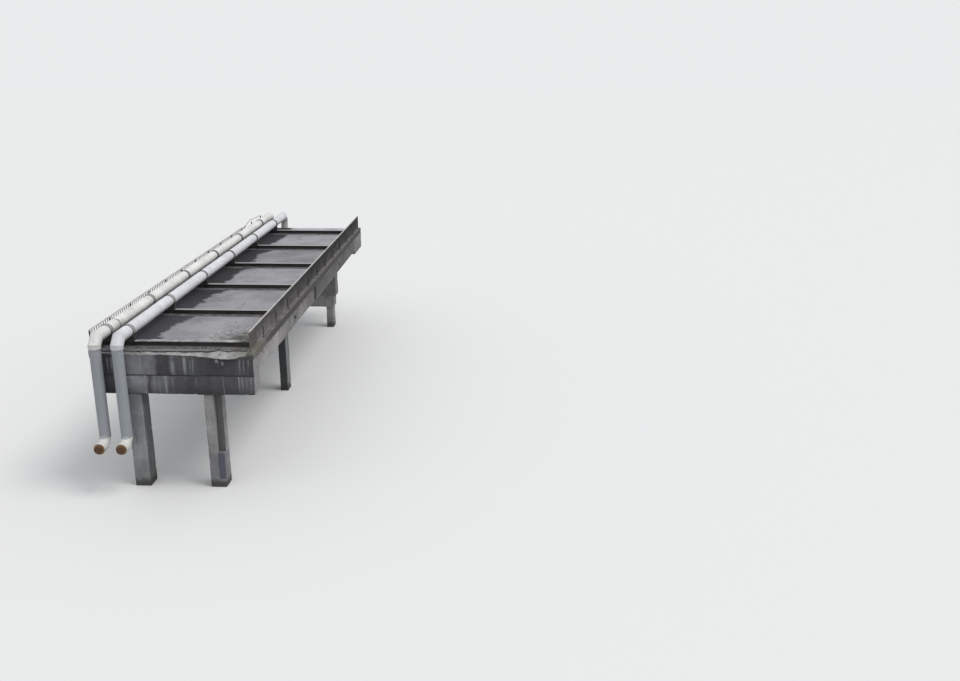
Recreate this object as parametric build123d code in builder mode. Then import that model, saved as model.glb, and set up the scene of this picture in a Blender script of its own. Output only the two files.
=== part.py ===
from build123d import *
import os

# Concrete overbridge of two spans over railway tracks, kept in use as a pipe bridge.
# Millimetres. +X is to the right seen from the near end, +Y runs along the bridge, +Z is up.
# The origin is on the ground, midway along the whole length and on the deck's centre line.

# Lengths along the bridge
span_length = 15000
approach_length = 3600
near_riser_offset = 450
far_riser_offset = 1300
stub_length = 500
carrier_end_length = 150

# Deck and superstructure
deck_half_width = 4160
beam_depth = 900
beam_foot_width = 450
beam_foot_height = 220
beam_web_thickness = 230
beam_setback = 60
beam_splay_height = 80
inner_beam_pitch = 1850
inner_beam_count = 3
inner_beam_flange_width = 620
inner_beam_flange_height = 150
inner_beam_web_thickness = 180
inner_beam_splay_height = 80
slab_thickness = 300
slab_joint = 30
kerb_width = 360
kerb_height = 70
kerb_chamfer = 25
end_wall_thickness = 560
diaphragm_thickness = 300
edge_break_depth = 520

# Bents
column_height = 5100
crosshead_height = 1000
crosshead_depth = 1000
crosshead_chamfer = 30
crosshead_end_chamfer = 60
column_depth = 900
column_chamfer = 25
capital_margin = 70
capital_overhang = 40

near_column_width = 820
near_left_column_x = -2120
near_right_column_x = 1850
near_crosshead_left_inset = 460
near_capital_margin = 280
end_block_width = 900
casting_joint_width = 25
casting_joint_depth = 20
rebate_width = 350
rebate_depth = 300
rebate_sill_height = 1900
panel_depth = 45
panel_foot_height = 420

middle_column_width = 500
middle_column_x = 1860
middle_crosshead_half_length = 2650

far_column_width = 540
far_column_x = 2100
far_column_height = 1700
far_crosshead_height = 930
far_crosshead_half_length = 2480
abutment_half_length = 2670
abutment_depth = 1050
back_wall_thickness = 450
wing_depth = 1200
wing_ledge_width = 300
wing_ledge_height = 300

# Pipes
pipe_diameter = 620
riser_diameter = 560
carrier_diameter = 400
outer_pipe_inset = 560
pipe_pitch = 1120
pipe_height_over_deck = 790
bend_length = 350
bend_tail_length = 130
lower_bend_height = 2600

# Pipe supports
support_count = 6
support_pitch = 6010
first_support_distance = 1060
support_height = 280
support_flange_width = 280
support_flange_thickness = 18
support_web_thickness = 11
support_end_gap = 40
saddle_half_width = 320
saddle_length = 260
saddle_top_depth = 140
strap_width = 240
strap_thickness = 10
curved_clearance = 0.3

# Railings
railing_height = 1050
railing_inset = 160
first_post_distance = 90
first_bay_length = 2470
post_pitch = 2780
bay_count = 12
post_size = 70
handrail_width = 60
handrail_height = 50
lower_rail_width = 40
lower_rail_height = 40
lower_rail_gap = 110
picket_size = 30
picket_pitch = 278
broken_bay_count = 2
bent_rail_length = 500
bent_rail_depth = 120
bent_rail_height = 190

# Levels and cross places worked out from the sizes above
crosshead_top = column_height + crosshead_height
slab_bottom = crosshead_top + beam_depth
deck_level = slab_bottom + slab_thickness
kerb_top = deck_level + kerb_height
pipe_level = deck_level + pipe_height_over_deck
far_crosshead_top = far_column_height + far_crosshead_height
kerb_inner = deck_half_width - kerb_width
beam_outer = deck_half_width - beam_setback
near_crosshead_left = -(deck_half_width - near_crosshead_left_inset)
railing_line_x = deck_half_width - railing_inset
outer_pipe_x = -(deck_half_width - outer_pipe_inset)
inner_pipe_x = outer_pipe_x + pipe_pitch

# Places along the bridge
deck_length = 2 * span_length + approach_length
near_reach = near_riser_offset + bend_length + stub_length + carrier_end_length
far_reach = far_riser_offset + bend_length + stub_length + carrier_end_length
overall_length = near_reach + deck_length + far_reach
front = near_reach - overall_length / 2
middle_joint = front + span_length
far_joint = front + 2 * span_length
back = front + deck_length
abutment_front = far_joint + back_wall_thickness - abutment_depth
near_riser_y = front - near_riser_offset
far_riser_y = back + far_riser_offset

os.makedirs("parts", exist_ok=True)


def save(piece, label):
    piece.part.label = label
    export_step(piece.part, f"parts/{label}.step")


def plan_block(x_range, y_range, z_range):
    """A block drawn in plan and raised, as its own part."""
    with BuildPart() as block:
        with BuildSketch(Plane.XY.offset(z_range[0])):
            with Locations(((x_range[0] + x_range[1]) / 2, (y_range[0] + y_range[1]) / 2)):
                Rectangle(x_range[1] - x_range[0], y_range[1] - y_range[0])
        extrude(amount=z_range[1] - z_range[0])
    return block


def column(x, y_start, width, height):
    """A square-edged concrete column with chamfered corners, standing on the ground."""
    with BuildPart() as piece:
        with BuildSketch(Plane.XY):
            with Locations((x, y_start + column_depth / 2)):
                Rectangle(width, column_depth)
        extrude(amount=height)
        chamfer(piece.edges().filter_by(Axis.Z), column_chamfer)
    return piece


def crosshead(x_range, y_start, z_range, capitals, capital_width):
    """A cap beam with chamfered lower ends and a slightly proud block over each column."""
    left, right = x_range
    bottom, top = z_range
    with BuildPart() as piece:
        with BuildSketch(Plane.XZ.offset(-y_start)):
            with BuildLine():
                Polyline(
                    (left, top), (left, bottom + crosshead_end_chamfer),
                    (left + crosshead_end_chamfer, bottom), (right - crosshead_end_chamfer, bottom),
                    (right, bottom + crosshead_end_chamfer), (right, top),
                    close=True)
            make_face()
        extrude(amount=-crosshead_depth)
        chamfer(piece.edges().filter_by(Axis.X).group_by(Axis.Z)[0], crosshead_chamfer)
        with BuildSketch(Plane.XY.offset(bottom)):
            with Locations(*[(x, y_start + crosshead_depth / 2) for x in capitals]):
                Rectangle(capital_width, crosshead_depth + 2 * capital_overhang)
        extrude(amount=top - bottom)
    return piece


column_inset = (crosshead_depth - column_depth) / 2

# Near bent
near_left_column = column(
    near_left_column_x, front + column_inset, near_column_width, column_height)
save(near_left_column, "near_left_column")

rebate_middle = near_right_column_x + near_column_width / 2 - rebate_width / 2
column_front = front + column_inset
with BuildPart() as near_right_column:
    with BuildSketch(Plane.XY):
        with Locations((near_right_column_x, column_front + column_depth / 2)):
            Rectangle(near_column_width, column_depth)
    extrude(amount=column_height)
    chamfer(near_right_column.edges().filter_by(Axis.Z), column_chamfer)
    # corner rebate from the sill up to the crosshead
    with BuildSketch(Plane.XY.offset(rebate_sill_height)):
        with Locations((rebate_middle, column_front + rebate_depth / 2)):
            Rectangle(rebate_width, rebate_depth)
    extrude(amount=column_height - rebate_sill_height, mode=Mode.SUBTRACT)
    # shallow sunk panel below the sill
    with BuildSketch(Plane.XY.offset(panel_foot_height)):
        with Locations((rebate_middle, column_front + panel_depth / 2)):
            Rectangle(rebate_width, panel_depth)
    extrude(amount=rebate_sill_height - panel_foot_height, mode=Mode.SUBTRACT)
save(near_right_column, "near_right_column")

near_crosshead = crosshead(
    (near_crosshead_left, beam_outer), front, (column_height, crosshead_top),
    (near_left_column_x, near_right_column_x), near_column_width + 2 * near_capital_margin)
casting_joint_x = beam_outer - end_block_width
with BuildPart() as casting_joints:
    with BuildSketch(Plane.XY.offset(column_height)):
        with Locations((-casting_joint_x, front), (casting_joint_x, front)):
            Rectangle(casting_joint_width, 2 * casting_joint_depth)
    extrude(amount=slab_bottom - column_height)
with near_crosshead:
    add(casting_joints.part, mode=Mode.SUBTRACT)
save(near_crosshead, "near_crosshead")

near_end_wall = plan_block(
    (-beam_outer, beam_outer), (front, front + end_wall_thickness),
    (crosshead_top, slab_bottom))
with near_end_wall:
    add(casting_joints.part, mode=Mode.SUBTRACT)
save(near_end_wall, "near_end_wall")

# Middle bent
middle_front = middle_joint - crosshead_depth / 2
for side, name in ((-1, "left"), (1, "right")):
    middle_column = column(
        side * middle_column_x, middle_front + column_inset, middle_column_width, column_height)
    save(middle_column, f"middle_{name}_column")

middle_crosshead = crosshead(
    (-middle_crosshead_half_length, middle_crosshead_half_length),
    middle_front, (column_height, crosshead_top),
    (-middle_column_x, middle_column_x), middle_column_width + 2 * capital_margin)
save(middle_crosshead, "middle_crosshead")

# Far bent, with the abutment wall on its crosshead
far_front = abutment_front + abutment_depth / 2 - crosshead_depth / 2
for side, name in ((-1, "left"), (1, "right")):
    far_column = column(
        side * far_column_x, far_front + column_inset, far_column_width, far_column_height)
    save(far_column, f"far_{name}_column")

far_crosshead = crosshead(
    (-far_crosshead_half_length, far_crosshead_half_length),
    far_front, (far_column_height, far_crosshead_top),
    (-far_column_x, far_column_x), far_column_width + 2 * capital_margin)
save(far_crosshead, "far_crosshead")

abutment_wall = plan_block(
    (-abutment_half_length, abutment_half_length),
    (abutment_front, abutment_front + abutment_depth),
    (far_crosshead_top, crosshead_top))
save(abutment_wall, "abutment_wall")

back_wall = plan_block(
    (-deck_half_width, deck_half_width), (far_joint, far_joint + back_wall_thickness),
    (crosshead_top, slab_bottom))
save(back_wall, "back_wall")

# Wing walls run back from the back wall and carry the approach slab on an inner ledge
wing_front = far_joint + back_wall_thickness
for side, name in ((-1, "left"), (1, "right")):
    with BuildPart() as wing_wall:
        with BuildSketch(Plane.XZ.offset(-wing_front)):
            with BuildLine():
                Polyline(
                    (side * deck_half_width, slab_bottom),
                    (side * deck_half_width, slab_bottom - wing_depth),
                    (side * kerb_inner, slab_bottom - wing_depth),
                    (side * kerb_inner, slab_bottom - wing_ledge_height - wing_ledge_width / 2),
                    (side * (kerb_inner - wing_ledge_width), slab_bottom - wing_ledge_height),
                    (side * (kerb_inner - wing_ledge_width), slab_bottom),
                    close=True)
            make_face()
        extrude(amount=-(back - wing_front))
    save(wing_wall, f"{name}_wing_wall")

# Diaphragms tie the beams of each span over the middle bent
diaphragm_half = beam_outer - beam_foot_width
for name, y_start in (
        ("first_span_diaphragm", middle_joint - slab_joint / 2 - diaphragm_thickness),
        ("second_span_diaphragm", middle_joint + slab_joint / 2)):
    diaphragm = plan_block(
        (-diaphragm_half, diaphragm_half), (y_start, y_start + diaphragm_thickness),
        (crosshead_top, slab_bottom))
    save(diaphragm, name)

# Edge beams: a flat outer face, a web and an inner foot
first_span = (front + end_wall_thickness, middle_joint - slab_joint / 2)
second_span = (middle_joint + slab_joint / 2, far_joint)
for span_name, (y_start, y_end), setback in (
        ("first_span", first_span, beam_setback), ("second_span", second_span, 0)):
    outer = deck_half_width - setback
    inner = beam_outer - beam_foot_width
    web_inner = outer - beam_web_thickness
    for side, name in ((-1, "left"), (1, "right")):
        with BuildPart() as edge_beam:
            with BuildSketch(Plane.XZ.offset(-y_start)):
                with BuildLine():
                    Polyline(
                        (side * outer, crosshead_top),
                        (side * outer, slab_bottom),
                        (side * inner, slab_bottom),
                        (side * inner, slab_bottom - inner_beam_flange_height),
                        (side * web_inner, slab_bottom - inner_beam_flange_height - beam_splay_height),
                        (side * web_inner, crosshead_top + beam_foot_height + beam_splay_height),
                        (side * inner, crosshead_top + beam_foot_height),
                        (side * inner, crosshead_top),
                        close=True)
                make_face()
            extrude(amount=-(y_end - y_start))
        save(edge_beam, f"{span_name}_{name}_beam")

# Inner beams of each span, three alike
inner_spans = (
    ("first_span", first_span[0], first_span[1] - diaphragm_thickness),
    ("second_span", second_span[0] + diaphragm_thickness, second_span[1]))
for span_name, y_start, y_end in inner_spans:
    half_foot = beam_foot_width / 2
    half_web = inner_beam_web_thickness / 2
    half_top = inner_beam_flange_width / 2
    with BuildPart() as inner_beams:
        with BuildSketch(Plane.XZ.offset(-y_start)):
            with GridLocations(inner_beam_pitch, 1, inner_beam_count, 1):
                with Locations((0, crosshead_top)):
                    with BuildSketch(mode=Mode.PRIVATE) as beam_profile:
                        with BuildLine():
                            half_outline = Polyline(
                                (0, 0), (half_foot, 0),
                                (half_foot, beam_foot_height - inner_beam_splay_height),
                                (half_web, beam_foot_height),
                                (half_web, beam_depth - inner_beam_flange_height - inner_beam_splay_height),
                                (half_top, beam_depth - inner_beam_flange_height),
                                (half_top, beam_depth), (0, beam_depth))
                            mirror(half_outline, about=Plane.YZ)
                        make_face()
                    add(beam_profile.sketch)
        extrude(amount=-(y_end - y_start))
    save(inner_beams, f"{span_name}_inner_beams")

# Deck slabs; the near edge of the first is broken concrete
half_joint = slab_joint / 2
broken_edge = (
    (-1.00, 0.42), (-0.72, 0.54), (-0.50, 0.44), (-0.30, 0.56), (-0.12, 0.46), (0.05, 0.60),
    (0.18, 0.50), (0.34, 0.72), (0.48, 0.60), (0.60, 0.92), (0.74, 0.74), (0.86, 1.00), (1.00, 0.85))
with BuildPart() as first_deck_slab:
    with BuildSketch(Plane.XY.offset(slab_bottom)):
        with BuildLine():
            Polyline(
                *[(across * kerb_inner, front + bite * edge_break_depth) for across, bite in broken_edge],
                (kerb_inner, middle_joint - half_joint),
                (-kerb_inner, middle_joint - half_joint),
                close=True)
        make_face()
    extrude(amount=slab_thickness)
save(first_deck_slab, "first_deck_slab")

second_deck_slab = plan_block(
    (-kerb_inner, kerb_inner), (middle_joint + half_joint, far_joint - half_joint),
    (slab_bottom, deck_level))
save(second_deck_slab, "second_deck_slab")

approach_slab = plan_block(
    (-kerb_inner, kerb_inner), (far_joint + half_joint, back), (slab_bottom, deck_level))
save(approach_slab, "approach_slab")

# Kerbs over the edge beams and wing walls
for side, name in ((-1, "left"), (1, "right")):
    with BuildPart() as kerb:
        with BuildSketch(Plane.XZ.offset(-front)):
            with BuildLine():
                Polyline(
                    (side * deck_half_width, slab_bottom),
                    (side * deck_half_width, kerb_top - kerb_chamfer),
                    (side * (deck_half_width - kerb_chamfer), kerb_top),
                    (side * (kerb_inner + kerb_chamfer), kerb_top),
                    (side * kerb_inner, kerb_top - kerb_chamfer),
                    (side * kerb_inner, slab_bottom),
                    close=True)
            make_face()
        extrude(amount=-deck_length)
    save(kerb, f"{name}_kerb")

# Pipe supports: a rolled steel beam across the deck, with a saddle below and a strap over each pipe
pipe_radius = pipe_diameter / 2
saddle_radius = pipe_radius + curved_clearance
saddle_base = deck_level + support_height
saddle_top = pipe_level - saddle_top_depth
for index in range(support_count):
    support_y = front + first_support_distance + index * support_pitch
    half_support = kerb_inner - support_end_gap
    with BuildPart() as pipe_support:
        with BuildSketch(Plane.YZ.offset(-half_support)):
            with Locations((support_y, deck_level + support_height / 2)):
                Rectangle(support_web_thickness, support_height)
            with Locations(
                    (support_y, deck_level + support_flange_thickness / 2),
                    (support_y, saddle_base - support_flange_thickness / 2)):
                Rectangle(support_flange_width, support_flange_thickness)
        extrude(amount=2 * half_support)
        with BuildSketch(Plane.XZ.offset(-(support_y - saddle_length / 2))):
            for pipe_x in (outer_pipe_x, inner_pipe_x):
                with Locations((pipe_x, (saddle_base + saddle_top) / 2)):
                    Rectangle(2 * saddle_half_width, saddle_top - saddle_base)
            for pipe_x in (outer_pipe_x, inner_pipe_x):
                with Locations((pipe_x, pipe_level)):
                    Circle(saddle_radius, mode=Mode.SUBTRACT)
        extrude(amount=-saddle_length)
        with BuildSketch(Plane.XZ.offset(-(support_y - strap_width / 2))):
            for pipe_x in (outer_pipe_x, inner_pipe_x):
                with Locations((pipe_x, pipe_level)):
                    Circle(saddle_radius + strap_thickness)
            for pipe_x in (outer_pipe_x, inner_pipe_x):
                with Locations((pipe_x, pipe_level)):
                    Circle(saddle_radius, mode=Mode.SUBTRACT)
                with Locations((pipe_x, (saddle_base + saddle_top) / 2)):
                    Rectangle(2 * saddle_half_width, saddle_top - saddle_base, mode=Mode.SUBTRACT)
        extrude(amount=-strap_width)
    save(pipe_support, f"pipe_support_{index + 1}")

# Pipes: a straight run, mitred bends, and risers that turn away from the bridge low down
run_start = near_riser_y + bend_length + bend_tail_length
run_end = far_riser_y - bend_length - bend_tail_length
riser_top = pipe_level - bend_length - bend_tail_length
riser_radius = riser_diameter / 2
for pipe_x, name in ((outer_pipe_x, "outer"), (inner_pipe_x, "inner")):
    with BuildPart() as pipe_run:
        with BuildSketch(Plane.XZ.offset(-run_start)):
            with Locations((pipe_x, pipe_level)):
                Circle(pipe_radius)
        extrude(amount=-(run_end - run_start))
    save(pipe_run, f"{name}_pipe_run")

    for riser_y, away, end_name in ((near_riser_y, -1, "near"), (far_riser_y, 1, "far")):
        with BuildPart() as upper_bend:
            with BuildLine():
                bend_path = Polyline(
                    (pipe_x, riser_y, riser_top),
                    (pipe_x, riser_y, pipe_level - bend_length),
                    (pipe_x, riser_y - away * bend_length, pipe_level),
                    (pipe_x, riser_y - away * (bend_length + bend_tail_length), pipe_level))
            with BuildSketch(Plane.XY.offset(riser_top)):
                with Locations((pipe_x, riser_y)):
                    Circle(pipe_radius)
            sweep(path=bend_path, transition=Transition.RIGHT)
        save(upper_bend, f"{name}_{end_name}_upper_bend")

        with BuildPart() as riser:
            with BuildLine():
                riser_path = Polyline(
                    (pipe_x, riser_y, riser_top),
                    (pipe_x, riser_y, lower_bend_height + bend_length),
                    (pipe_x, riser_y + away * bend_length, lower_bend_height),
                    (pipe_x, riser_y + away * (bend_length + stub_length), lower_bend_height))
            with BuildSketch(Plane.XY.offset(riser_top)):
                with Locations((pipe_x, riser_y)):
                    Circle(riser_radius)
            sweep(path=riser_path, transition=Transition.RIGHT)
            stub_end = riser_y + away * (bend_length + stub_length)
            with BuildSketch(Plane.XZ.offset(-stub_end)):
                with Locations((pipe_x, lower_bend_height)):
                    Circle(carrier_diameter / 2)
            extrude(amount=-away * carrier_end_length)
        save(riser, f"{name}_{end_name}_riser")

# Railings: posts, a handrail, a lower rail and pickets in each bay
posts = [front + first_post_distance]
posts += [posts[0] + first_bay_length + index * post_pitch for index in range(bay_count)]
rail_top = kerb_top + railing_height
lower_rail_level = kerb_top + lower_rail_gap


def railing(side, bays, owns_first_post, broken_bays=()):
    """One stretch of railing; the broken bays have lost their pickets and hold a bent handrail."""
    line_x = side * railing_line_x
    whole = [bay for bay in bays if bay not in broken_bays]
    start = posts[bays[0]] + (0 if owns_first_post else post_size / 2)
    whole_end = posts[whole[-1] + 1]
    end = posts[bays[-1] + 1]
    with BuildPart() as stretch:
        with BuildSketch(Plane.YZ.offset(line_x - picket_size / 2)):
            for bay in whole:
                clear = posts[bay + 1] - posts[bay]
                count = round(clear / picket_pitch) - 1
                with Locations(((posts[bay] + posts[bay + 1]) / 2, (lower_rail_level + rail_top) / 2)):
                    with GridLocations(clear / (count + 1), 1, count, 1):
                        Rectangle(picket_size, rail_top - lower_rail_level - handrail_height / 2)
        extrude(amount=picket_size)
        with Locations((line_x, (start + whole_end) / 2, rail_top - handrail_height / 2)):
            Box(handrail_width, whole_end - start, handrail_height)
        with Locations((line_x, (start + end) / 2, lower_rail_level)):
            Box(lower_rail_width, end - start, lower_rail_height)
        standing = [posts[bay + 1] for bay in bays]
        if owns_first_post:
            standing.insert(0, posts[bays[0]])
        post_height = railing_height - handrail_height / 2
        with Locations(*[(line_x, y, kerb_top + post_height / 2) for y in standing]):
            Box(post_size, post_size, post_height)
        if broken_bays:
            rail_middle = rail_top - handrail_height / 2
            with BuildLine():
                bent_path = Polyline(
                    (line_x, whole_end, rail_middle),
                    (line_x, whole_end + bent_rail_length, rail_middle - bent_rail_depth),
                    (line_x, posts[broken_bays[0] + 1] - bent_rail_length, rail_middle + bent_rail_height),
                    (line_x, end, rail_middle))
            with BuildSketch(Plane(bent_path @ 0, z_dir=bent_path % 0)):
                Rectangle(handrail_height, handrail_width)
            sweep(path=bent_path, transition=Transition.RIGHT)
    return stretch


half_count = bay_count // 2
near_bays = list(range(half_count))
far_bays = list(range(half_count, bay_count))
save(railing(1, near_bays, True), "right_railing_near")
save(railing(1, far_bays, False), "right_railing_far")
save(railing(-1, near_bays, True), "left_railing_near")
save(railing(-1, far_bays, False, far_bays[-broken_bay_count:]), "left_railing_far")
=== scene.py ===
"""Dresses a concrete pipe bridge: weathered concrete, jacketed pipes, rusty steel and small pieces."""

import math
import random
from functools import cached_property

import bmesh
import bpy
from mathutils import Matrix, Vector, noise


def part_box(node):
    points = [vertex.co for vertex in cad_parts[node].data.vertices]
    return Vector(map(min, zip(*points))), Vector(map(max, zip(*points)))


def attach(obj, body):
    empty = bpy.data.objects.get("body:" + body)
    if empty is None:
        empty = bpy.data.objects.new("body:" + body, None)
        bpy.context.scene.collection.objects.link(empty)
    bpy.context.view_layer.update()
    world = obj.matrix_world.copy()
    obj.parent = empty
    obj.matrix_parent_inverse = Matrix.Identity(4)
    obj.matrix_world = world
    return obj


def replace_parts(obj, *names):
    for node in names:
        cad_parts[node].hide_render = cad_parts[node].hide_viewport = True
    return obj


bl_info = {
    "name": "Pipe Bridge",
    "version": (1, 0, 0),
    "blender": (4, 5, 0),
    "location": "View3D > Sidebar > Bridge",
    "description": "Dresses a concrete bridge that carries two insulated pipes",
    "category": "Object",
}

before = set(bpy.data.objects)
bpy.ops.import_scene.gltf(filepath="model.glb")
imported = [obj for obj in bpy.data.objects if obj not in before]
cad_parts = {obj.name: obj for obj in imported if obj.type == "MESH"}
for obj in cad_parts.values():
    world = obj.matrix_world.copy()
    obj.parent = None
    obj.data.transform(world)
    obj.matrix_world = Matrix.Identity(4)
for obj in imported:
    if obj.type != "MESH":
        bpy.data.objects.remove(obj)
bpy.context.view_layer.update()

# Sizes of the solids that their boxes don't tell, in metres
bend_tail = 0.13
carrier_length = 0.15
lower_bend_height = 2.6
support_height = 0.28
half_flange = 0.14
saddle_half_width = 0.32
saddle_drop = 0.14
half_post = 0.035
first_bay_length = 2.47
post_pitch = 2.78
bay_count = 12
picket_pitch = 0.278
half_joint_gap = 0.015
rebate_width = 0.35
rebate_sill = 1.9

# Levels and lines read from the frame
deck_low, deck_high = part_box("second_deck_slab")
kerb_low, kerb_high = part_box("right_kerb")
wall_low, wall_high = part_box("near_end_wall")
rail_low, rail_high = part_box("right_railing_near")
outer_low, outer_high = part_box("outer_pipe_run")
inner_low, inner_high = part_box("inner_pipe_run")
riser_low, riser_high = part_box("inner_near_riser")
column_low, column_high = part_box("near_right_column")
crosshead_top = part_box("near_crosshead")[1].z
near_bend_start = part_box("inner_near_upper_bend")[0].y
far_bend_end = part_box("inner_far_upper_bend")[1].y
support_boxes = [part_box(f"pipe_support_{index}") for index in range(1, 7)]

# Lines across and along the bridge
deck_top = deck_high.z
kerb_top = kerb_high.z
front, back = wall_low.y, kerb_high.y
middle_joint = deck_low.y - half_joint_gap
rebate_start = column_high.x - rebate_width
support_lines = [(low.y + high.y) / 2 for low, high in support_boxes]
support_pitch = support_lines[1] - support_lines[0]
support_top = deck_top + support_height
rail_line = (rail_low.x + rail_high.x) / 2
second_post = rail_low.y + half_post + first_bay_length
post_lines = [rail_low.y + half_post] + [second_post + index * post_pitch for index in range(bay_count)]
drain_lines = (front + 9.2, front + 23.5)
drain_height = 6.62

# The pipes
pipe_radius = (outer_high.x - outer_low.x) / 2
pipe_level = outer_high.z - pipe_radius
pipe_lines = {"outer": (outer_low.x + outer_high.x) / 2, "inner": (inner_low.x + inner_high.x) / 2}
saddle_top = pipe_level - saddle_drop
riser_radius = (riser_high.x - riser_low.x) / 2
riser_top = riser_high.z
riser_lines = {"near": near_bend_start + pipe_radius, "far": far_bend_end - pipe_radius}
away = {"near": -1, "far": 1}
bend_length = pipe_level - riser_top - bend_tail
riser_foot = lower_bend_height + bend_length
stub_end = abs(riser_low.y + carrier_length)


class ConcreteSettings(bpy.types.PropertyGroup):
    bent_colour: bpy.props.FloatVectorProperty(
        name="Bents", description="Cast concrete of the columns and crossheads",
        subtype="COLOR", size=3, min=0, max=1, default=(0.165, 0.172, 0.178))
    wall_colour: bpy.props.FloatVectorProperty(
        name="End face", description="Stained concrete of the near end wall and crosshead",
        subtype="COLOR", size=3, min=0, max=1, default=(0.088, 0.088, 0.095))
    rebated_colour: bpy.props.FloatVectorProperty(
        name="Rebated column", description="Cast concrete of the near right column",
        subtype="COLOR", size=3, min=0, max=1, default=(0.186, 0.183, 0.183))
    beam_colour: bpy.props.FloatVectorProperty(
        name="Beams", description="Smooth precast concrete of the beams",
        subtype="COLOR", size=3, min=0, max=1, default=(0.285, 0.270, 0.270))
    deck_colour: bpy.props.FloatVectorProperty(
        name="Deck", description="Worn deck surface",
        subtype="COLOR", size=3, min=0, max=1, default=(0.285, 0.278, 0.30))
    kerb_colour: bpy.props.FloatVectorProperty(
        name="Kerbs", description="Damp concrete of the kerbs",
        subtype="COLOR", size=3, min=0, max=1, default=(0.125, 0.115, 0.115))
    far_colour: bpy.props.FloatVectorProperty(
        name="Far bent", description="Paler concrete of the far bent and its walls",
        subtype="COLOR", size=3, min=0, max=1, default=(0.315, 0.308, 0.315))
    broken_colour: bpy.props.FloatVectorProperty(
        name="Broken faces", description="Pale stone shown where an edge has chipped",
        subtype="COLOR", size=3, min=0, max=1, default=(0.36, 0.35, 0.35))
    chip_depth: bpy.props.FloatProperty(
        name="Chip depth", description="How far the worst edge chips reach", unit="LENGTH", default=0.045)
    cell: bpy.props.FloatProperty(
        name="Mesh cell", description="Spacing of the cuts that let edges chip", unit="LENGTH", default=0.16)


class PipeSettings(bpy.types.PropertyGroup):
    outer_colour: bpy.props.FloatVectorProperty(
        name="Outer jacket", description="Warm white sheet of the outer pipe",
        subtype="COLOR", size=3, min=0, max=1, default=(0.79, 0.785, 0.765))
    inner_colour: bpy.props.FloatVectorProperty(
        name="Inner jacket", description="Cool white sheet of the inner pipe",
        subtype="COLOR", size=3, min=0, max=1, default=(0.73, 0.735, 0.775))
    riser_colour: bpy.props.FloatVectorProperty(
        name="Riser jacket", description="Blue-grey sheet of the risers",
        subtype="COLOR", size=3, min=0, max=1, default=(0.425, 0.455, 0.495))
    sheet_length: bpy.props.FloatProperty(
        name="Sheet length", description="Length of one jacket sheet", unit="LENGTH", default=1.0)
    bead: bpy.props.FloatProperty(
        name="Bead", description="Half the width of a rolled seam", unit="LENGTH", default=0.007)


class SteelSettings(bpy.types.PropertyGroup):
    support_colour: bpy.props.FloatVectorProperty(
        name="Supports", description="Old dark coating of the pipe supports",
        subtype="COLOR", size=3, min=0, max=1, default=(0.040, 0.034, 0.034))
    railing_colour: bpy.props.FloatVectorProperty(
        name="Railing", description="Faded brown coating of the railings",
        subtype="COLOR", size=3, min=0, max=1, default=(0.150, 0.141, 0.140))
    handrail_colour: bpy.props.FloatVectorProperty(
        name="Handrail top", description="Pale worn top of the handrail",
        subtype="COLOR", size=3, min=0, max=1, default=(0.54, 0.52, 0.505))
    rust_colour: bpy.props.FloatVectorProperty(
        name="Rust", description="Rust that breaks through the coatings",
        subtype="COLOR", size=3, min=0, max=1, default=(0.105, 0.052, 0.034))


class StageSettings(bpy.types.PropertyGroup):
    camera_place: bpy.props.FloatVectorProperty(
        name="Camera place", description="Where the camera stands", subtype="TRANSLATION", size=3,
        unit="LENGTH", default=(17.15, -62.275, 22.05))
    camera_pitch: bpy.props.FloatProperty(
        name="Pitch", description="How far the camera looks down", unit="ROTATION",
        default=math.radians(17.17))
    camera_yaw: bpy.props.FloatProperty(
        name="Yaw", description="How far the camera turns left of the bridge's line", unit="ROTATION",
        default=math.radians(2.277))
    focal_length: bpy.props.FloatProperty(
        name="Focal length", description="Lens for a sensor 36 mm wide", unit="CAMERA", default=36.307)
    floor_colour: bpy.props.FloatVectorProperty(
        name="Floor", description="Pale floor", subtype="COLOR", size=3, min=0, max=1,
        default=(0.80, 0.80, 0.80))
    backdrop_colour: bpy.props.FloatVectorProperty(
        name="Backdrop", description="Pale backdrop beyond the floor", subtype="COLOR", size=3, min=0, max=1,
        default=(0.823, 0.830, 0.838))
    sky_strength: bpy.props.FloatProperty(
        name="Sky", description="Light that comes from all round", default=0.72)
    sun_strength: bpy.props.FloatProperty(
        name="Sun", description="Soft light from the upper right", default=1.25)


# Node trees and materials

def tint(colour, factor):
    return tuple(min(1.0, value * factor) for value in colour)


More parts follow.
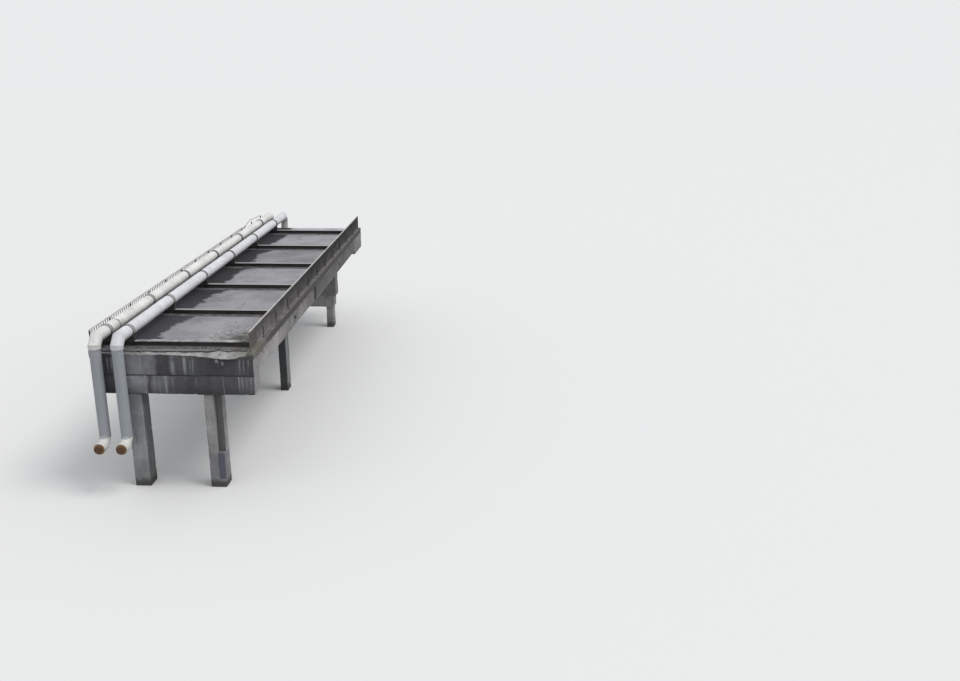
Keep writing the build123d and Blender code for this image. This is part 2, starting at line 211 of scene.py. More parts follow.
class Nodes:
    """Adds nodes to a tree. Every value may be a number or another node's output."""

    def __init__(self, tree):
        self.tree = tree

    def add(self, kind, inputs=None, **settings):
        """One node with its settings; inputs maps a socket to a value or to another node's output."""
        made = self.tree.nodes.new(kind)
        for name, value in settings.items():
            setattr(made, name, value)
        for key, value in (inputs or {}).items():
            if isinstance(value, bpy.types.NodeSocket):
                self.tree.links.new(value, made.inputs[key])
            else:
                made.inputs[key].default_value = value
        return made

    @cached_property
    def place(self):
        return self.add("ShaderNodeTexCoord").outputs["Object"]

    @cached_property
    def axes(self):
        return self.add("ShaderNodeSeparateXYZ", {0: self.place}).outputs

    def normal(self, axis):
        """One part of the direction that the face looks in."""
        facing = self.add("ShaderNodeNewGeometry").outputs["Normal"]
        return self.add("ShaderNodeSeparateXYZ", {0: facing}).outputs[axis]

    def calc(self, operation, first, second=0.0, third=0.0):
        return self.add("ShaderNodeMath", {0: first, 1: second, 2: third}, operation=operation).outputs[0]

    def plus(self, first, second):
        return self.calc("ADD", first, second)

    def minus(self, first, second):
        return self.calc("SUBTRACT", first, second)

    def times(self, first, second):
        return self.calc("MULTIPLY", first, second)

    def scaled(self, value, factor, offset):
        return self.calc("MULTIPLY_ADD", value, factor, offset)

    def apart(self, value, place):
        """How far value lies from a place, to either side."""
        return self.calc("ABSOLUTE", self.minus(value, place))

    def vector(self, operation, first, second=(0, 0, 0)):
        made = self.add("ShaderNodeVectorMath", {0: first, 1: second}, operation=operation)
        return made.outputs["Value" if operation == "LENGTH" else "Vector"]

    def fade(self, value, low, high, start=0.0, end=1.0):
        """Maps value from low..high to start..end with soft ends."""
        made = self.add(
            "ShaderNodeMapRange",
            {"Value": value, "From Min": low, "From Max": high, "To Min": start, "To Max": end},
            interpolation_type="SMOOTHSTEP")
        return made.outputs["Result"]

    def within(self, value, low, high, soft=0.03):
        """1 between low and high, with soft ends."""
        above = self.fade(value, low - soft, low + soft)
        return self.times(above, self.fade(value, high + soft, high - soft))

    def face(self, axis, sign):
        """1 on faces that look along one axis."""
        return self.fade(self.times(self.normal(axis), sign), 0.55, 0.85)

    def mix(self, factor, first, second, blend="MIX"):
        """Mixes two colours; plain colours are given with three numbers."""
        colours = [c if isinstance(c, bpy.types.NodeSocket) else (*c, 1) for c in (first, second)]
        made = self.add(
            "ShaderNodeMix", {0: factor, 6: colours[0], 7: colours[1]}, data_type="RGBA", blend_type=blend)
        return made.outputs[2]

    def noise(self, scale, detail=5.0, roughness=0.55, place=None):
        made = self.add(
            "ShaderNodeTexNoise",
            {"Vector": place or self.place, "Scale": scale, "Detail": detail, "Roughness": roughness})
        return made.outputs["Fac"]

    def stretched_noise(self, squeeze, detail=5.0, roughness=0.55):
        """Noise with its own scale along each axis."""
        return self.noise(1.0, detail, roughness, self.vector("MULTIPLY", self.place, squeeze))

    def group(self, group, **values):
        """Places a shared group; a value's name is the socket's name in lower case."""
        made = self.tree.nodes.new("ShaderNodeGroup")
        made.node_tree = group
        for name, value in values.items():
            made.inputs[name.capitalize()].default_value = value
        return made.outputs

    def settled(self, cover, scale):
        return self.group(settled_dust_group(), cover=cover, scale=scale)["Mask"]

    def stain(self, centre, radius):
        return self.group(stain_spot_group(), centre=centre, radius=radius)["Mask"]

    def cracks(self, scale):
        return self.group(crack_group(), scale=scale)["Mask"]

    def cast_relief(self, board):
        return self.group(concrete_relief_group(), board=board)["Height"]

    def tone_along(self, value, low, high, tones):
        """Shade factors at stated places along one axis, blended softly between them."""
        spread = self.add("ShaderNodeMapRange", {"Value": value, "From Min": low, "From Max": high})
        ramp = self.add("ShaderNodeValToRGB", {0: spread.outputs["Result"]})
        ramp.color_ramp.interpolation = "EASE"
        elements = ramp.color_ramp.elements
        while len(elements) < len(tones):
            elements.new(0.5)
        for element, (where, tone) in zip(elements, sorted(tones)):
            element.position = (where - low) / (high - low)
            element.color = (tone, tone, tone, 1)
        return ramp.outputs["Color"]


class Finish(Nodes):
    """A material whose colour is built up coat by coat over one Principled shader."""

    def __init__(self, name):
        self.material = bpy.data.materials.new(name)
        self.material.use_nodes = True
        super().__init__(self.material.node_tree)
        self.shader = self.tree.nodes["Principled BSDF"].inputs

    def lay(self, scale, dark, pale):
        """The ground coat, in large soft patches."""
        mottle = self.group(mottle_group(), scale=scale)
        self.grain = mottle["Grain"]
        self.colour = self.mix(mottle["Patches"], dark, pale)

    def coat(self, mask, colour, strength=None):
        """Lays a colour where the mask is; strength, a number or a second mask, thins it."""
        if strength is not None:
            mask = self.times(mask, strength)
        self.colour = self.mix(mask, self.colour, colour)

    def shade(self, tones):
        self.colour = self.mix(1.0, self.colour, tones, "MULTIPLY")

    def wash(self, mask, tones):
        """Multiplies the colour where the mask is."""
        self.coat(mask, self.mix(1.0, self.colour, tones, "MULTIPLY"))

    def weather(self, colour, scale, dark_cover, pale_cover):
        """Concrete with patches, and with dark and pale water runs."""
        self.lay(scale, tint(colour, 0.76), tint(colour, 1.22))
        self.coat(self.fade(self.grain, 0.35, 0.68, 0.0, 0.45), tint(colour, 0.62))
        for density, stretch, cover, strength, tone in (
                (3.4, 0.30, dark_cover, 0.6, 0.40), (6.5, 0.55, pale_cover, 0.42, 1.9)):
            runs = self.group(water_runs_group(), density=density, stretch=stretch, cover=cover)["Mask"]
            self.coat(runs, tint(colour, tone), strength)

    def rust(self, colour, cover, scale, tones, strength):
        """Rust patches; tones are the factors of their darkest and palest shades."""
        rust = self.group(rust_group(), cover=cover, scale=scale)
        self.coat(rust["Mask"], self.mix(rust["Shade"], *(tint(colour, tone) for tone in tones)), strength)

    def chip(self, stone):
        """Pale stone where the mesh is chipped."""
        worn = self.add("ShaderNodeAttribute", attribute_name="chip").outputs["Fac"]
        pale = self.mix(self.fade(self.noise(30.0, 3, 0.6), 0.35, 0.65), tint(stone, 0.5), stone)
        self.coat(self.fade(worn, 0.30, 0.95, 0.0, 0.7), pale)

    def done(self, roughness, height, distance, strength=0.6):
        """Connects the colour, a roughness that follows the grain, and the relief."""
        links = self.tree.links
        links.new(self.colour, self.shader["Base Color"])
        links.new(self.fade(self.grain, 0.3, 0.7, *roughness), self.shader["Roughness"])
        bump = self.add("ShaderNodeBump", {"Height": height, "Distance": distance, "Strength": strength})
        links.new(bump.outputs["Normal"], self.shader["Normal"])
        return self.material


# Effects that several materials share

def shared_group(name, inputs, outputs, build):
    """A node group built once; inputs gives each socket's default and build returns the output sockets."""
    if name in bpy.data.node_groups:
        return bpy.data.node_groups[name]
    tree = bpy.data.node_groups.new(name, "ShaderNodeTree")
    for label, default in inputs.items():
        kind = "NodeSocketVector" if isinstance(default, tuple) else "NodeSocketFloat"
        tree.interface.new_socket(name=label, in_out="INPUT", socket_type=kind).default_value = default
    for label in outputs:
        tree.interface.new_socket(name=label, in_out="OUTPUT", socket_type="NodeSocketFloat")
    given = tree.nodes.new("NodeGroupInput").outputs
    results = tree.nodes.new("NodeGroupOutput").inputs
    for socket, result in zip(results, build(Nodes(tree), given)):
        tree.links.new(result, socket)
    return tree


def mottle_group():
    """Large soft patches and fine grain."""
    def build(n, given):
        patches = n.fade(n.noise(given["Scale"], 6, 0.62), 0.34, 0.66)
        return patches, n.noise(n.times(given["Scale"], 17.0), 6, 0.7)
    return shared_group("Mottle", {"Scale": 0.6}, ("Patches", "Grain"), build)


def water_runs_group():
    """Upright streaks left by water that runs down a face."""
    def build(n, given):
        squeeze = n.add("ShaderNodeCombineXYZ", {
            "X": given["Density"], "Y": given["Density"], "Z": given["Stretch"]}).outputs[0]
        limit = n.minus(1.0, given["Cover"])
        mask = n.fade(n.stretched_noise(squeeze, 4, 0.6), limit, n.plus(limit, 0.13))
        upright = n.fade(n.calc("ABSOLUTE", n.normal("Z")), 0.75, 0.35)
        return (n.times(mask, upright),)
    return shared_group("Water Runs", {"Density": 4.0, "Stretch": 0.4, "Cover": 0.45}, ("Mask",), build)


def settled_dust_group():
    """Dust and silt that lies on faces that look up."""
    def build(n, given):
        limit = n.minus(1.0, given["Cover"])
        uneven = n.fade(n.noise(given["Scale"], 6, 0.65), limit, n.plus(limit, 0.22))
        return (n.times(n.fade(n.normal("Z"), 0.45, 0.9), uneven),)
    return shared_group("Settled Dust", {"Cover": 0.5, "Scale": 2.5}, ("Mask",), build)


def rust_group():
    """Rust patches with their own light and dark."""
    def build(n, given):
        limit = n.minus(1.0, given["Cover"])
        mask = n.fade(n.noise(given["Scale"], 8, 0.7), limit, n.plus(limit, 0.09))
        return mask, n.noise(n.times(given["Scale"], 6.0), 5, 0.6)
    return shared_group("Rust", {"Cover": 0.45, "Scale": 3.0}, ("Mask", "Shade"), build)


def stain_spot_group():
    """A ragged round stain about a place."""
    def build(n, given):
        reach = n.vector("LENGTH", n.vector("SUBTRACT", n.place, given["Centre"]))
        ragged = n.scaled(n.noise(2.6, 6, 0.65), 1.6, -0.8)
        return (n.fade(n.plus(n.calc("DIVIDE", reach, given["Radius"]), ragged), 1.0, 0.45),)
    return shared_group("Stain Spot", {"Centre": (0, 0, 0), "Radius": 1.0}, ("Mask",), build)


def concrete_relief_group():
    """Height of cast concrete: grain, small blow holes and board lines."""
    def build(n, given):
        holes = n.add("ShaderNodeTexVoronoi", {"Vector": n.place, "Scale": 11.0, "Randomness": 1.0})
        pits = n.fade(holes.outputs["Distance"], 0.05, 0.14)
        board = n.calc("ABSOLUTE", n.calc("PINGPONG", n.axes["Z"], given["Board"]))
        rough = n.scaled(n.noise(26.0, 8, 0.7), 0.8, n.times(pits, 0.35))
        return (n.scaled(n.fade(board, 0.0, 0.012), 0.25, rough),)
    return shared_group("Concrete Relief", {"Board": 0.16}, ("Height",), build)


def crack_group():
    """Fine wandering cracks, in a few places only."""
    def build(n, given):
        bent = n.add("ShaderNodeTexNoise", {"Vector": n.place, "Scale": 1.7, "Detail": 6.0})
        moved = n.vector("ADD", n.place, n.vector("MULTIPLY", bent.outputs["Color"], (0.9, 0.9, 0.9)))
        edges = n.add(
            "ShaderNodeTexVoronoi", {"Vector": moved, "Scale": given["Scale"]}, feature="DISTANCE_TO_EDGE")
        line = n.fade(edges.outputs["Distance"], 0.016, 0.002)
        return (n.times(line, n.fade(n.noise(0.55, 2, 0.5), 0.50, 0.58)),)
    return shared_group("Cracks", {"Scale": 0.7}, ("Mask",), build)


# Materials

def bent_concrete(settings, name, colour, front_painted_light=1.0, right_painted_light=1.0, foot=True, rebate=False):
    """Cast concrete of the columns and crossheads, damp at the foot.
    The two face factors are painted light and shade: they make the near and right faces paler, or darker, as
    light falls on them."""
    p = Finish(name)
    p.weather(colour, 0.7, 0.42, 0.34)
    # Painted light and shade: the near and right faces made paler or darker as light falls on them
    for axis, sign, tone in (("Y", -1, front_painted_light), ("X", 1, right_painted_light)):
        p.wash(p.face(axis, sign), (tone,) * 3)
    if foot:
        wavy = p.scaled(p.noise(3.0), 0.35, p.axes["Z"])
        p.coat(p.fade(wavy, 0.75, 0.38, 0.0, 0.86), (0.042, 0.044, 0.042))
        p.coat(p.fade(wavy, 1.5, 0.7, 0.0, 0.22), (0.075, 0.088, 0.055))
    p.coat(p.settled(0.62, 3.0), (0.24, 0.23, 0.225), 0.7)
    p.chip(settings.broken_colour)
    if rebate:
        rebate_shade_and_tones(p)
    return p.done((0.78, 0.95), p.cast_relief(0.18), 0.006)


def rebate_shade_and_tones(p):
    """A bluish lower half, the rebate's recessed face darkened as painted shade, and a bluish sunk panel
    below it.
    """
    depth, height = p.axes["Y"], p.axes["Z"]
    ragged = p.noise(3.2, 6, 0.65)
    across = p.within(p.scaled(ragged, 0.03, p.axes["X"]), rebate_start + 0.01, column_high.x + 0.10, 0.012)
    bluish = p.within(p.scaled(ragged, 0.5, height), 0.75, rebate_sill + 0.2, 0.25)
    p.coat(bluish, (0.14, 0.142, 0.19), 0.45)
    # Painted shade on the rebate's recessed face
    back_face = p.times(across, p.fade(depth, column_low.y + 0.24, column_low.y + 0.28))
    back_face = p.times(back_face, p.fade(depth, column_low.y + 0.36, column_low.y + 0.32))
    p.coat(back_face, (0.115, 0.105, 0.108), 0.86)
    panel = p.times(across, p.within(height, 0.42, rebate_sill))
    panel = p.times(panel, p.fade(depth, column_low.y + 0.025, column_low.y + 0.04))
    panel = p.times(panel, p.fade(depth, column_low.y + 0.10, column_low.y + 0.06))
    p.coat(panel, (0.105, 0.112, 0.148), 0.85)


def end_face_concrete(settings, name, row_top, tones, runs, low_tone=1.0, shadow_line=()):
    """The near end's stained face; tones give its light and dark stretches across the bridge.
    runs are (place, half width, strength, start, length) of the pale streaks below row_top.
    shadow_line is (left, right, bottom, top) of a painted shadow line under the left capital."""
    p = Finish(name)
    p.weather(settings.wall_colour, 0.9, 0.40, 0.38)
    across, height = p.axes["X"], p.axes["Z"]
    wander = p.scaled(p.noise(1.4), 0.3, p.minus(across, 0.15))
    p.shade(p.tone_along(wander, wall_low.x, wall_high.x, tones))
    p.shade((3.4, 3.4, 3.4))
    below = p.minus(row_top, height)
    p.wash(p.fade(p.scaled(p.noise(1.9, 5, 0.6), 0.5, below), 0.55, 1.15), (low_tone,) * 3)
    ragged = p.fade(p.stretched_noise((13.0, 13.0, 1.5), 4, 0.6), 0.30, 0.55)
    wavy = p.scaled(p.stretched_noise((3.0, 3.0, 1.2), 3), 0.10, p.minus(across, 0.05))
    for where, width, strength, start, length in runs:
        line = p.times(p.fade(p.apart(wavy, where), width, width * 0.25), ragged)
        fall = p.times(p.fade(below, start - 0.03, start + 0.02),
                       p.fade(below, start + length, start + length * 0.45))
        p.coat(p.times(line, fall), (0.34, 0.345, 0.36), strength)
    # Painted shade in the joint between the end wall and the crosshead
    p.coat(p.fade(p.apart(height, crosshead_top), 0.055, 0.02, 0.0, 0.8), (0.020, 0.021, 0.023))
    if shadow_line:
        # Painted shadow under the left capital
        left, right, bottom, top = shadow_line
        p.coat(p.times(p.within(across, left, right), p.within(height, bottom, top)),
               (0.018, 0.020, 0.024), 0.8)
    p.coat(p.settled(0.75, 2.4), (0.27, 0.262, 0.275), 0.35)
    # Painted light: the right-facing ends paler
    p.coat(p.face("X", 1), (0.32, 0.31, 0.312), 0.85)
    p.chip(settings.broken_colour)
    return p.done((0.76, 0.95), p.cast_relief(0.5), 0.007)


def beam_concrete(settings):
    """Smooth precast beams with drips from the kerb, drain streaks and a dark stain at the joint."""
    p = Finish("precast_beam")
    colour = settings.beam_colour
    p.weather(colour, 0.45, 0.40, 0.33)
    along, height = p.axes["Y"], p.axes["Z"]
    drop = p.fade(height, wall_high.z - 0.55, wall_high.z, 0.0, 0.75)
    p.coat(drop, tint(colour, 0.34), p.fade(p.stretched_noise((5.0, 3.0, 0.5), 4), 0.42, 0.62))
    ragged_joint = p.scaled(p.noise(2.2), 0.5, p.apart(along, middle_joint))
    p.coat(p.fade(ragged_joint, 0.62, 0.25, 0.0, 0.8), tint(colour, 0.25))
    p.shade(p.tone_along(along, front, back, [
        (front, 0.92), (front + 5.0, 0.88), (front + 9.0, 0.69), (middle_joint - 5.0, 0.69),
        (middle_joint + 1.0, 0.385), (back, 0.38)]))
    p.shade((1.45, 1.45, 1.45))
    for line in drain_lines:
        streak = p.within(p.scaled(p.noise(4.0), 0.1, along), line - 0.05, line + 0.16, 0.05)
        streak = p.times(streak, p.within(height, drain_height - 0.40, drain_height + 0.10, 0.12))
        p.coat(streak, tint(colour, 0.22), 0.6)
    # Painted highlight: a pale line along the beams' lower edge
    p.coat(p.fade(height, crosshead_top + 0.07, crosshead_top + 0.03, 0.0, 0.5), tint(colour, 1.6))
    p.coat(p.cracks(0.8), tint(colour, 0.25))
    p.chip(settings.broken_colour)
    return p.done((0.70, 0.92), p.cast_relief(1.0), 0.004)


def deck_surface(settings):
    """Worn grey deck, dark with silt and painted pipe shadow beside the pipes, and mossy at the right near
    corner.
    """
    p = Finish("deck_surface")
    colour = settings.deck_colour
    first, second, third, fourth, fifth, sixth = support_lines
    across, along = p.axes["X"], p.axes["Y"]
    p.lay(0.42, tint(colour, 0.80), tint(colour, 1.16))
    p.coat(p.fade(p.grain, 0.40, 0.70, 0.0, 0.4), tint(colour, 0.70))
    p.shade(p.tone_along(along, front, back, [
        (third - 0.3, 0.60), (third + 0.3, 0.66), (fourth - 0.3, 0.66), (fourth + 0.3, 0.53),
        (fifth - 0.3, 0.53), (fifth + 0.3, 0.68), (sixth - 0.1, 0.68), (sixth + 0.4, 0.95)]))
    p.shade((1.667, 1.667, 1.667))
    ragged = p.noise(2.3, 6, 0.68)

    # Dark silt and painted shadow of the pipes beside them, wider at each bay's ends; past is the distance
    # from the first support
    past = p.minus(along, first)
    along_bay = p.minus(past, p.times(p.calc("FLOOR", p.calc("DIVIDE", past, support_pitch)), support_pitch))
    wander = p.plus(p.scaled(p.noise(0.55, 5, 0.6), 1.5, -0.75), p.scaled(ragged, 1.0, -0.5))
    widened = p.plus(p.fade(along_bay, 3.6, support_pitch, 0.0, 0.45), p.fade(along_bay, 0.85, 0.7, 0.0, 0.4))
    beside = p.minus(p.minus(across, wander), widened)
    silt = p.mix(p.fade(along, second, third), (0.036, 0.034, 0.045), (0.013, 0.012, 0.018))
    # This colour stands for both silt and painted pipe shadow
    p.coat(p.fade(beside, -1.30, -1.62, 0.0, 0.95), silt)

    # Pale patches in the near bay, dirt and painted contact shade against the supports, and dirt against the
    # right kerb
    near_bay = p.times(p.fade(along, second + 0.5, second - 0.8), p.fade(along, first + 0.1, first + 0.4))
    pale = p.times(near_bay, p.fade(beside, -0.9, -0.1, 0.0, 0.75))
    p.coat(p.fade(p.noise(0.9, 6, 0.7), 0.42, 0.60), (0.35, 0.335, 0.35), pale)
    # Dirt and painted contact shade at the supports' feet
    from_support = p.calc("PINGPONG", past, support_pitch / 2)
    p.coat(p.fade(p.scaled(ragged, -0.3, from_support), 0.24, 0.10, 0.0, 0.8), (0.062, 0.056, 0.062))
    p.coat(p.fade(p.scaled(ragged, 0.7, across), deck_high.x - 0.1, deck_high.x + 0.3, 0.0, 0.7),
           (0.16, 0.148, 0.145))

    # Rubble and cracks
    rubble = p.stain((2.7, front + 2.6, deck_top), 2.6)
    p.coat(rubble, (0.105, 0.10, 0.105), p.fade(p.noise(5.0, 6, 0.75), 0.50, 0.62, 0.0, 0.75))
    p.coat(rubble, (0.47, 0.445, 0.46), p.fade(p.noise(7.5, 5, 0.7), 0.47, 0.60))
    cracks = p.cracks(0.6)
    p.coat(cracks, tint(colour, 0.25), 0.8)
    p.chip(settings.broken_colour)

    # The strip before the first support, its front-facing broken edge darkened as painted shade, and the moss
    strip = p.fade(along, first - 0.10, first - 0.16, 0.0, 0.85)
    p.coat(strip, (0.165, 0.162, 0.175))
    # Painted shade on the strip's front-facing edge
    p.coat(strip, (0.030, 0.029, 0.032), p.face("Y", -1))
    p.coat(p.stain((3.3, front + 2.0, deck_top), 2.2), (0.058, 0.058, 0.044), 0.9)
    height = p.scaled(p.noise(18.0, 8, 0.72), 0.8, p.times(cracks, -0.6))
    return p.done((0.72, 0.95), height, 0.008)


def kerb_concrete(settings):
    """Dark damp kerb with an olive, mossy near end."""
    p = Finish("damp_kerb")
    colour = settings.kerb_colour
    p.weather(colour, 0.8, 0.44, 0.30)
    p.coat(p.settled(0.58, 1.8), (0.21, 0.195, 0.185), 0.6)
    side_face = p.fade(p.calc("ABSOLUTE", p.normal("X")), 0.6, 0.85)
    p.coat(side_face, tint(colour, 0.50), p.fade(p.axes["Y"], front + 0.9, front + 2.3, 0.0, 0.85))
    p.coat(p.stain((4.0, front + 0.6, kerb_top), 2.6), (0.215, 0.212, 0.178), 0.8)
    p.coat(p.stain((3.7, front + 1.2, kerb_top), 1.2), (0.075, 0.075, 0.046), 0.55)
    end_face = p.times(p.face("Y", -1), p.fade(p.axes["Z"], deck_top - 0.06, deck_top - 0.12))
    p.coat(end_face, (0.085, 0.086, 0.092), 0.9)
    p.chip(settings.broken_colour)
    return p.done((0.66, 0.92), p.cast_relief(0.9), 0.006)


def rubble_stone(settings):
    """Crumbled concrete: pale stone and grey dust, darker on the left and mossy at the right end."""
    p = Finish("crumbled_concrete")
    stone = settings.broken_colour
    p.lay(1.6, tint(stone, 0.70), tint(stone, 1.35))
    p.coat(p.fade(p.grain, 0.42, 0.7, 0.0, 0.6), tint(stone, 0.35))
    p.coat(p.fade(p.axes["X"], -1.6, -3.2, 0.0, 0.6), (0.13, 0.128, 0.14))
    p.coat(p.fade(p.axes["X"], 2.9, 3.4, 0.0, 0.6), (0.25, 0.248, 0.205))
    moss = p.stain((3.95, front + 1.3, deck_top), 1.1)
    p.coat(moss, (0.066, 0.066, 0.048), p.fade(p.axes["Y"], front + 0.5, front + 0.8, 0.0, 0.9))
    return p.done((0.82, 0.97), p.noise(24.0, 8, 0.75), 0.010)


def silt_finish():
    """Dark damp silt with paler grains."""
    p = Finish("dark_silt")
    p.lay(2.2, (0.050, 0.044, 0.044), (0.15, 0.138, 0.14))
    p.coat(p.fade(p.grain, 0.4, 0.7, 0.0, 0.5), (0.21, 0.195, 0.195))
    return p.done((0.85, 0.98), p.noise(30.0, 8, 0.75), 0.008)


def jacket_finish(name, colour, settings, riser=False):
    """Sheet metal jacket with faint dents, painted shade under the pipe and streaks.
    A riser's lower bend is white, and its stub shows insulation and a rusty carrier pipe."""
    p = Finish(name)
    height = p.axes["Z"]
    p.lay(0.9, tint(colour, 0.90), tint(colour, 1.06))
    sheets = p.calc("FLOOR", p.calc("DIVIDE", height if riser else p.axes["Y"], settings.sheet_length))
    each = p.add("ShaderNodeTexWhiteNoise", {"W": sheets}, noise_dimensions="1D").outputs["Value"]
    p.coat(p.fade(each, 0.0, 1.0, 0.0, 0.22), tint(colour, 0.72))
    smear = p.stretched_noise((3.0, 1.1, 3.0), 6, 0.65)
    p.coat(p.fade(smear, 0.52, 0.72, 0.0, 0.35), (0.32, 0.305, 0.285))
    # Painted shade on the pipe's underside
    p.coat(p.fade(p.normal("Z"), 0.10, -0.65, 0.0, 0.72), (0.17, 0.162, 0.175))
    p.coat(p.fade(height, pipe_level - 0.15, pipe_level - 0.85, 0.0, 0.6), tint(colour, 0.78))
    if riser:
        p.wash(p.fade(p.axes["Y"], -1.0, 1.0), (1.4, 1.35, 1.15))
        p.coat(p.fade(height, riser_foot + 0.02, riser_foot - 0.02), tint(settings.outer_colour, 0.9))
        reach = p.calc("ABSOLUTE", p.axes["Y"])
        p.coat(p.fade(reach, stub_end - 0.004, stub_end - 0.002), (0.30, 0.22, 0.10))
        rust = p.group(rust_group(), cover=0.55, scale=7.0)
        carrier = p.mix(rust["Shade"], (0.05, 0.028, 0.018), (0.20, 0.085, 0.045))
        p.coat(p.fade(reach, stub_end + 0.002, stub_end + 0.006), carrier)
    return p.done((0.42, 0.62), p.stretched_noise((1.6, 1.6, 1.6), 3, 0.5), 0.03, 0.35)


def dark_steel(settings, name, dust_cover, straps=False):
    """Rolled steel with an old dark coating, rust, pale dust on its top and moss at the right near end.
    With straps, what stands above the saddles is galvanised: darker over the near supports."""
    p = Finish(name)
    colour = settings.support_colour
    along, height = p.axes["Y"], p.axes["Z"]
    p.lay(1.3, tint(colour, 0.75), tint(colour, 1.35))
    p.rust(settings.rust_colour, 0.40, 2.2, (0.45, 1.0), 0.55)
    dust = p.times(p.settled(dust_cover, 1.9), p.fade(height, support_top + 0.05, support_top + 0.01))
    p.coat(dust, (0.39, 0.37, 0.375), 0.94)
    p.coat(p.stain((3.7, support_lines[0], deck_top), 0.9), (0.060, 0.060, 0.044), 0.9)
    if straps:
        from_line = p.calc("PINGPONG", p.minus(along, support_lines[0]), support_pitch / 2)
        strap = p.times(p.fade(height, saddle_top + 0.004, saddle_top + 0.012),
                        p.fade(from_line, 0.10, 0.085))
        distance = p.fade(along, support_lines[1] + 1.0, support_lines[3])
        p.coat(strap, p.mix(distance, (0.42, 0.415, 0.42), (0.17, 0.168, 0.172)))
    return p.done((0.55, 0.85), p.noise(40.0, 7, 0.7), 0.003)


def railing_finish(settings):
    """Faded brown railing: darker posts, a pale worn handrail top, rust and moss at the near end."""
    p = Finish("railing_coating")
    colour = settings.railing_colour
    along, height = p.axes["Y"], p.axes["Z"]
    p.lay(1.1, tint(colour, 0.8), tint(colour, 1.3))
    p.rust(settings.rust_colour, 0.44, 2.6, (0.6, 1.2), 0.35)
    post_before_all = second_post - 10 * post_pitch
    from_post = p.calc("PINGPONG", p.minus(along, post_before_all), post_pitch / 2)
    post = p.times(p.fade(from_post, 0.045, 0.036, 0.0, 0.9),
                   p.fade(height, kerb_top + 0.70, kerb_top + 0.52))
    p.coat(post, (0.022, 0.020, 0.021))
    deeper = p.times(p.fade(along, front + 3.0, front + 15.0, 1.0, 0.41),
                     p.fade(height, kerb_top + 0.95, kerb_top + 0.20, 0.72, 1.5))
    p.shade(p.add("ShaderNodeCombineXYZ", {0: deeper, 1: deeper, 2: deeper}).outputs[0])
    top = p.fade(height, rail_high.z - 0.055, rail_high.z - 0.045)
    p.coat(top, settings.handrail_colour, p.fade(p.noise(1.8, 6, 0.65), 0.28, 0.46))
    p.coat(p.stain((rail_line, front + 0.5, kerb_top), 1.2), (0.085, 0.084, 0.055), 0.6)
    return p.done((0.60, 0.88), p.noise(45.0, 7, 0.7), 0.002)


# Mesh helpers

def show_piece(name, shape, material):
    """Turns a bmesh into a piece that rides on the bridge."""
    mesh = bpy.data.meshes.new(name)
    bmesh.ops.recalc_face_normals(shape, faces=shape.faces)
    shape.to_mesh(mesh)
    shape.free()
    piece = bpy.data.objects.new(name, mesh)
    bpy.context.scene.collection.objects.link(piece)
    mesh.materials.append(material)
    mesh.shade_smooth()
    mesh.set_sharp_from_angle(angle=math.radians(32))
    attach(piece, "root")
    return piece


def dress(node, material):
    """Gives a CAD node its better material."""
    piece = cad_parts[node]
    if not piece.material_slots:
        piece.data.materials.append(material)
    for slot in piece.material_slots:
        slot.material = material


def wear(point, size):
    """Uneven value about 0, from -1 to 1, at a place in space."""
    return noise.fractal(point / size, 0.6, 2.1, 4)


def cut_cells(shape, low, high, cell):
    """Cuts a block along evenly spaced planes across each axis, so that its faces and edges can be moved."""
    for axis in range(3):
        steps = int((high[axis] - low[axis]) / cell)
        normal = Vector([1.0 if i == axis else 0.0 for i in range(3)])
        for step in range(1, steps + 1):
            place = low.copy()
            place[axis] = low[axis] + (high[axis] - low[axis]) * step / (steps + 1)
            bmesh.ops.bisect_plane(
                shape, geom=shape.verts[:] + shape.edges[:] + shape.faces[:],
                plane_co=place, plane_no=normal)


def worn_cast(node, material, cell, chip_depth, break_reach=0.0):
    """A cast block with the node's own form, slightly uneven faces and chipped edges.
    break_reach is how far from the front edge the chips run deeper."""
    bevel_width, face_unevenness, deeper = 0.012, 0.0025, 2.2
    shape = bmesh.new()
    shape.from_mesh(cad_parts[node].data)
    mark = shape.faces.layers.int.new("rim")
    chips = shape.verts.layers.float.new("chip")
    bmesh.ops.remove_doubles(shape, verts=shape.verts, dist=1e-4)
    bmesh.ops.dissolve_limit(
        shape, angle_limit=math.radians(1), verts=shape.verts, edges=shape.edges)
    sharp = [e for e in shape.edges if len(e.link_faces) == 2 and e.calc_face_angle(0) > math.radians(25)]
    bevelled = bmesh.ops.bevel(
        shape, geom=sharp, offset=bevel_width, segments=1, affect="EDGES", clamp_overlap=True)
    for face in bevelled["faces"]:
        face[mark] = 1
    low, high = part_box(node)
    cut_cells(shape, low, high, cell)
    shape.normal_update()
    seed = Vector((sum(map(ord, node)) % 97, 3.1, 7.7))
    moves = []
    for vert in shape.verts:
        if any(face[mark] for face in vert.link_faces):
            depth = chip_depth * deeper if break_reach and vert.co.y < low.y + break_reach else chip_depth
            amount = wear(vert.co + seed, 0.45) * 0.9 + wear(vert.co + seed, 0.11) * 0.8 - 0.22
            amount = min(1.0, max(0.0, amount))
            moves.append((vert, -vert.normal * amount * depth))
            vert[chips] = amount
        else:
            moves.append((vert, vert.normal * wear(vert.co + seed, 1.3) * face_unevenness))
    for vert, move in moves:
        vert.co += move
    shape.faces.layers.int.remove(mark)
    bmesh.ops.triangulate(shape, faces=[f for f in shape.faces if len(f.verts) > 4])
    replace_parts(show_piece(f"cast_{node}", shape, material), node)


def add_box(shape, centre, size, turn=Matrix.Identity(4)):
    matrix = Matrix.Translation(centre) @ turn @ Matrix.Diagonal((*size, 1))
    bmesh.ops.create_cube(shape, size=1.0, matrix=matrix)


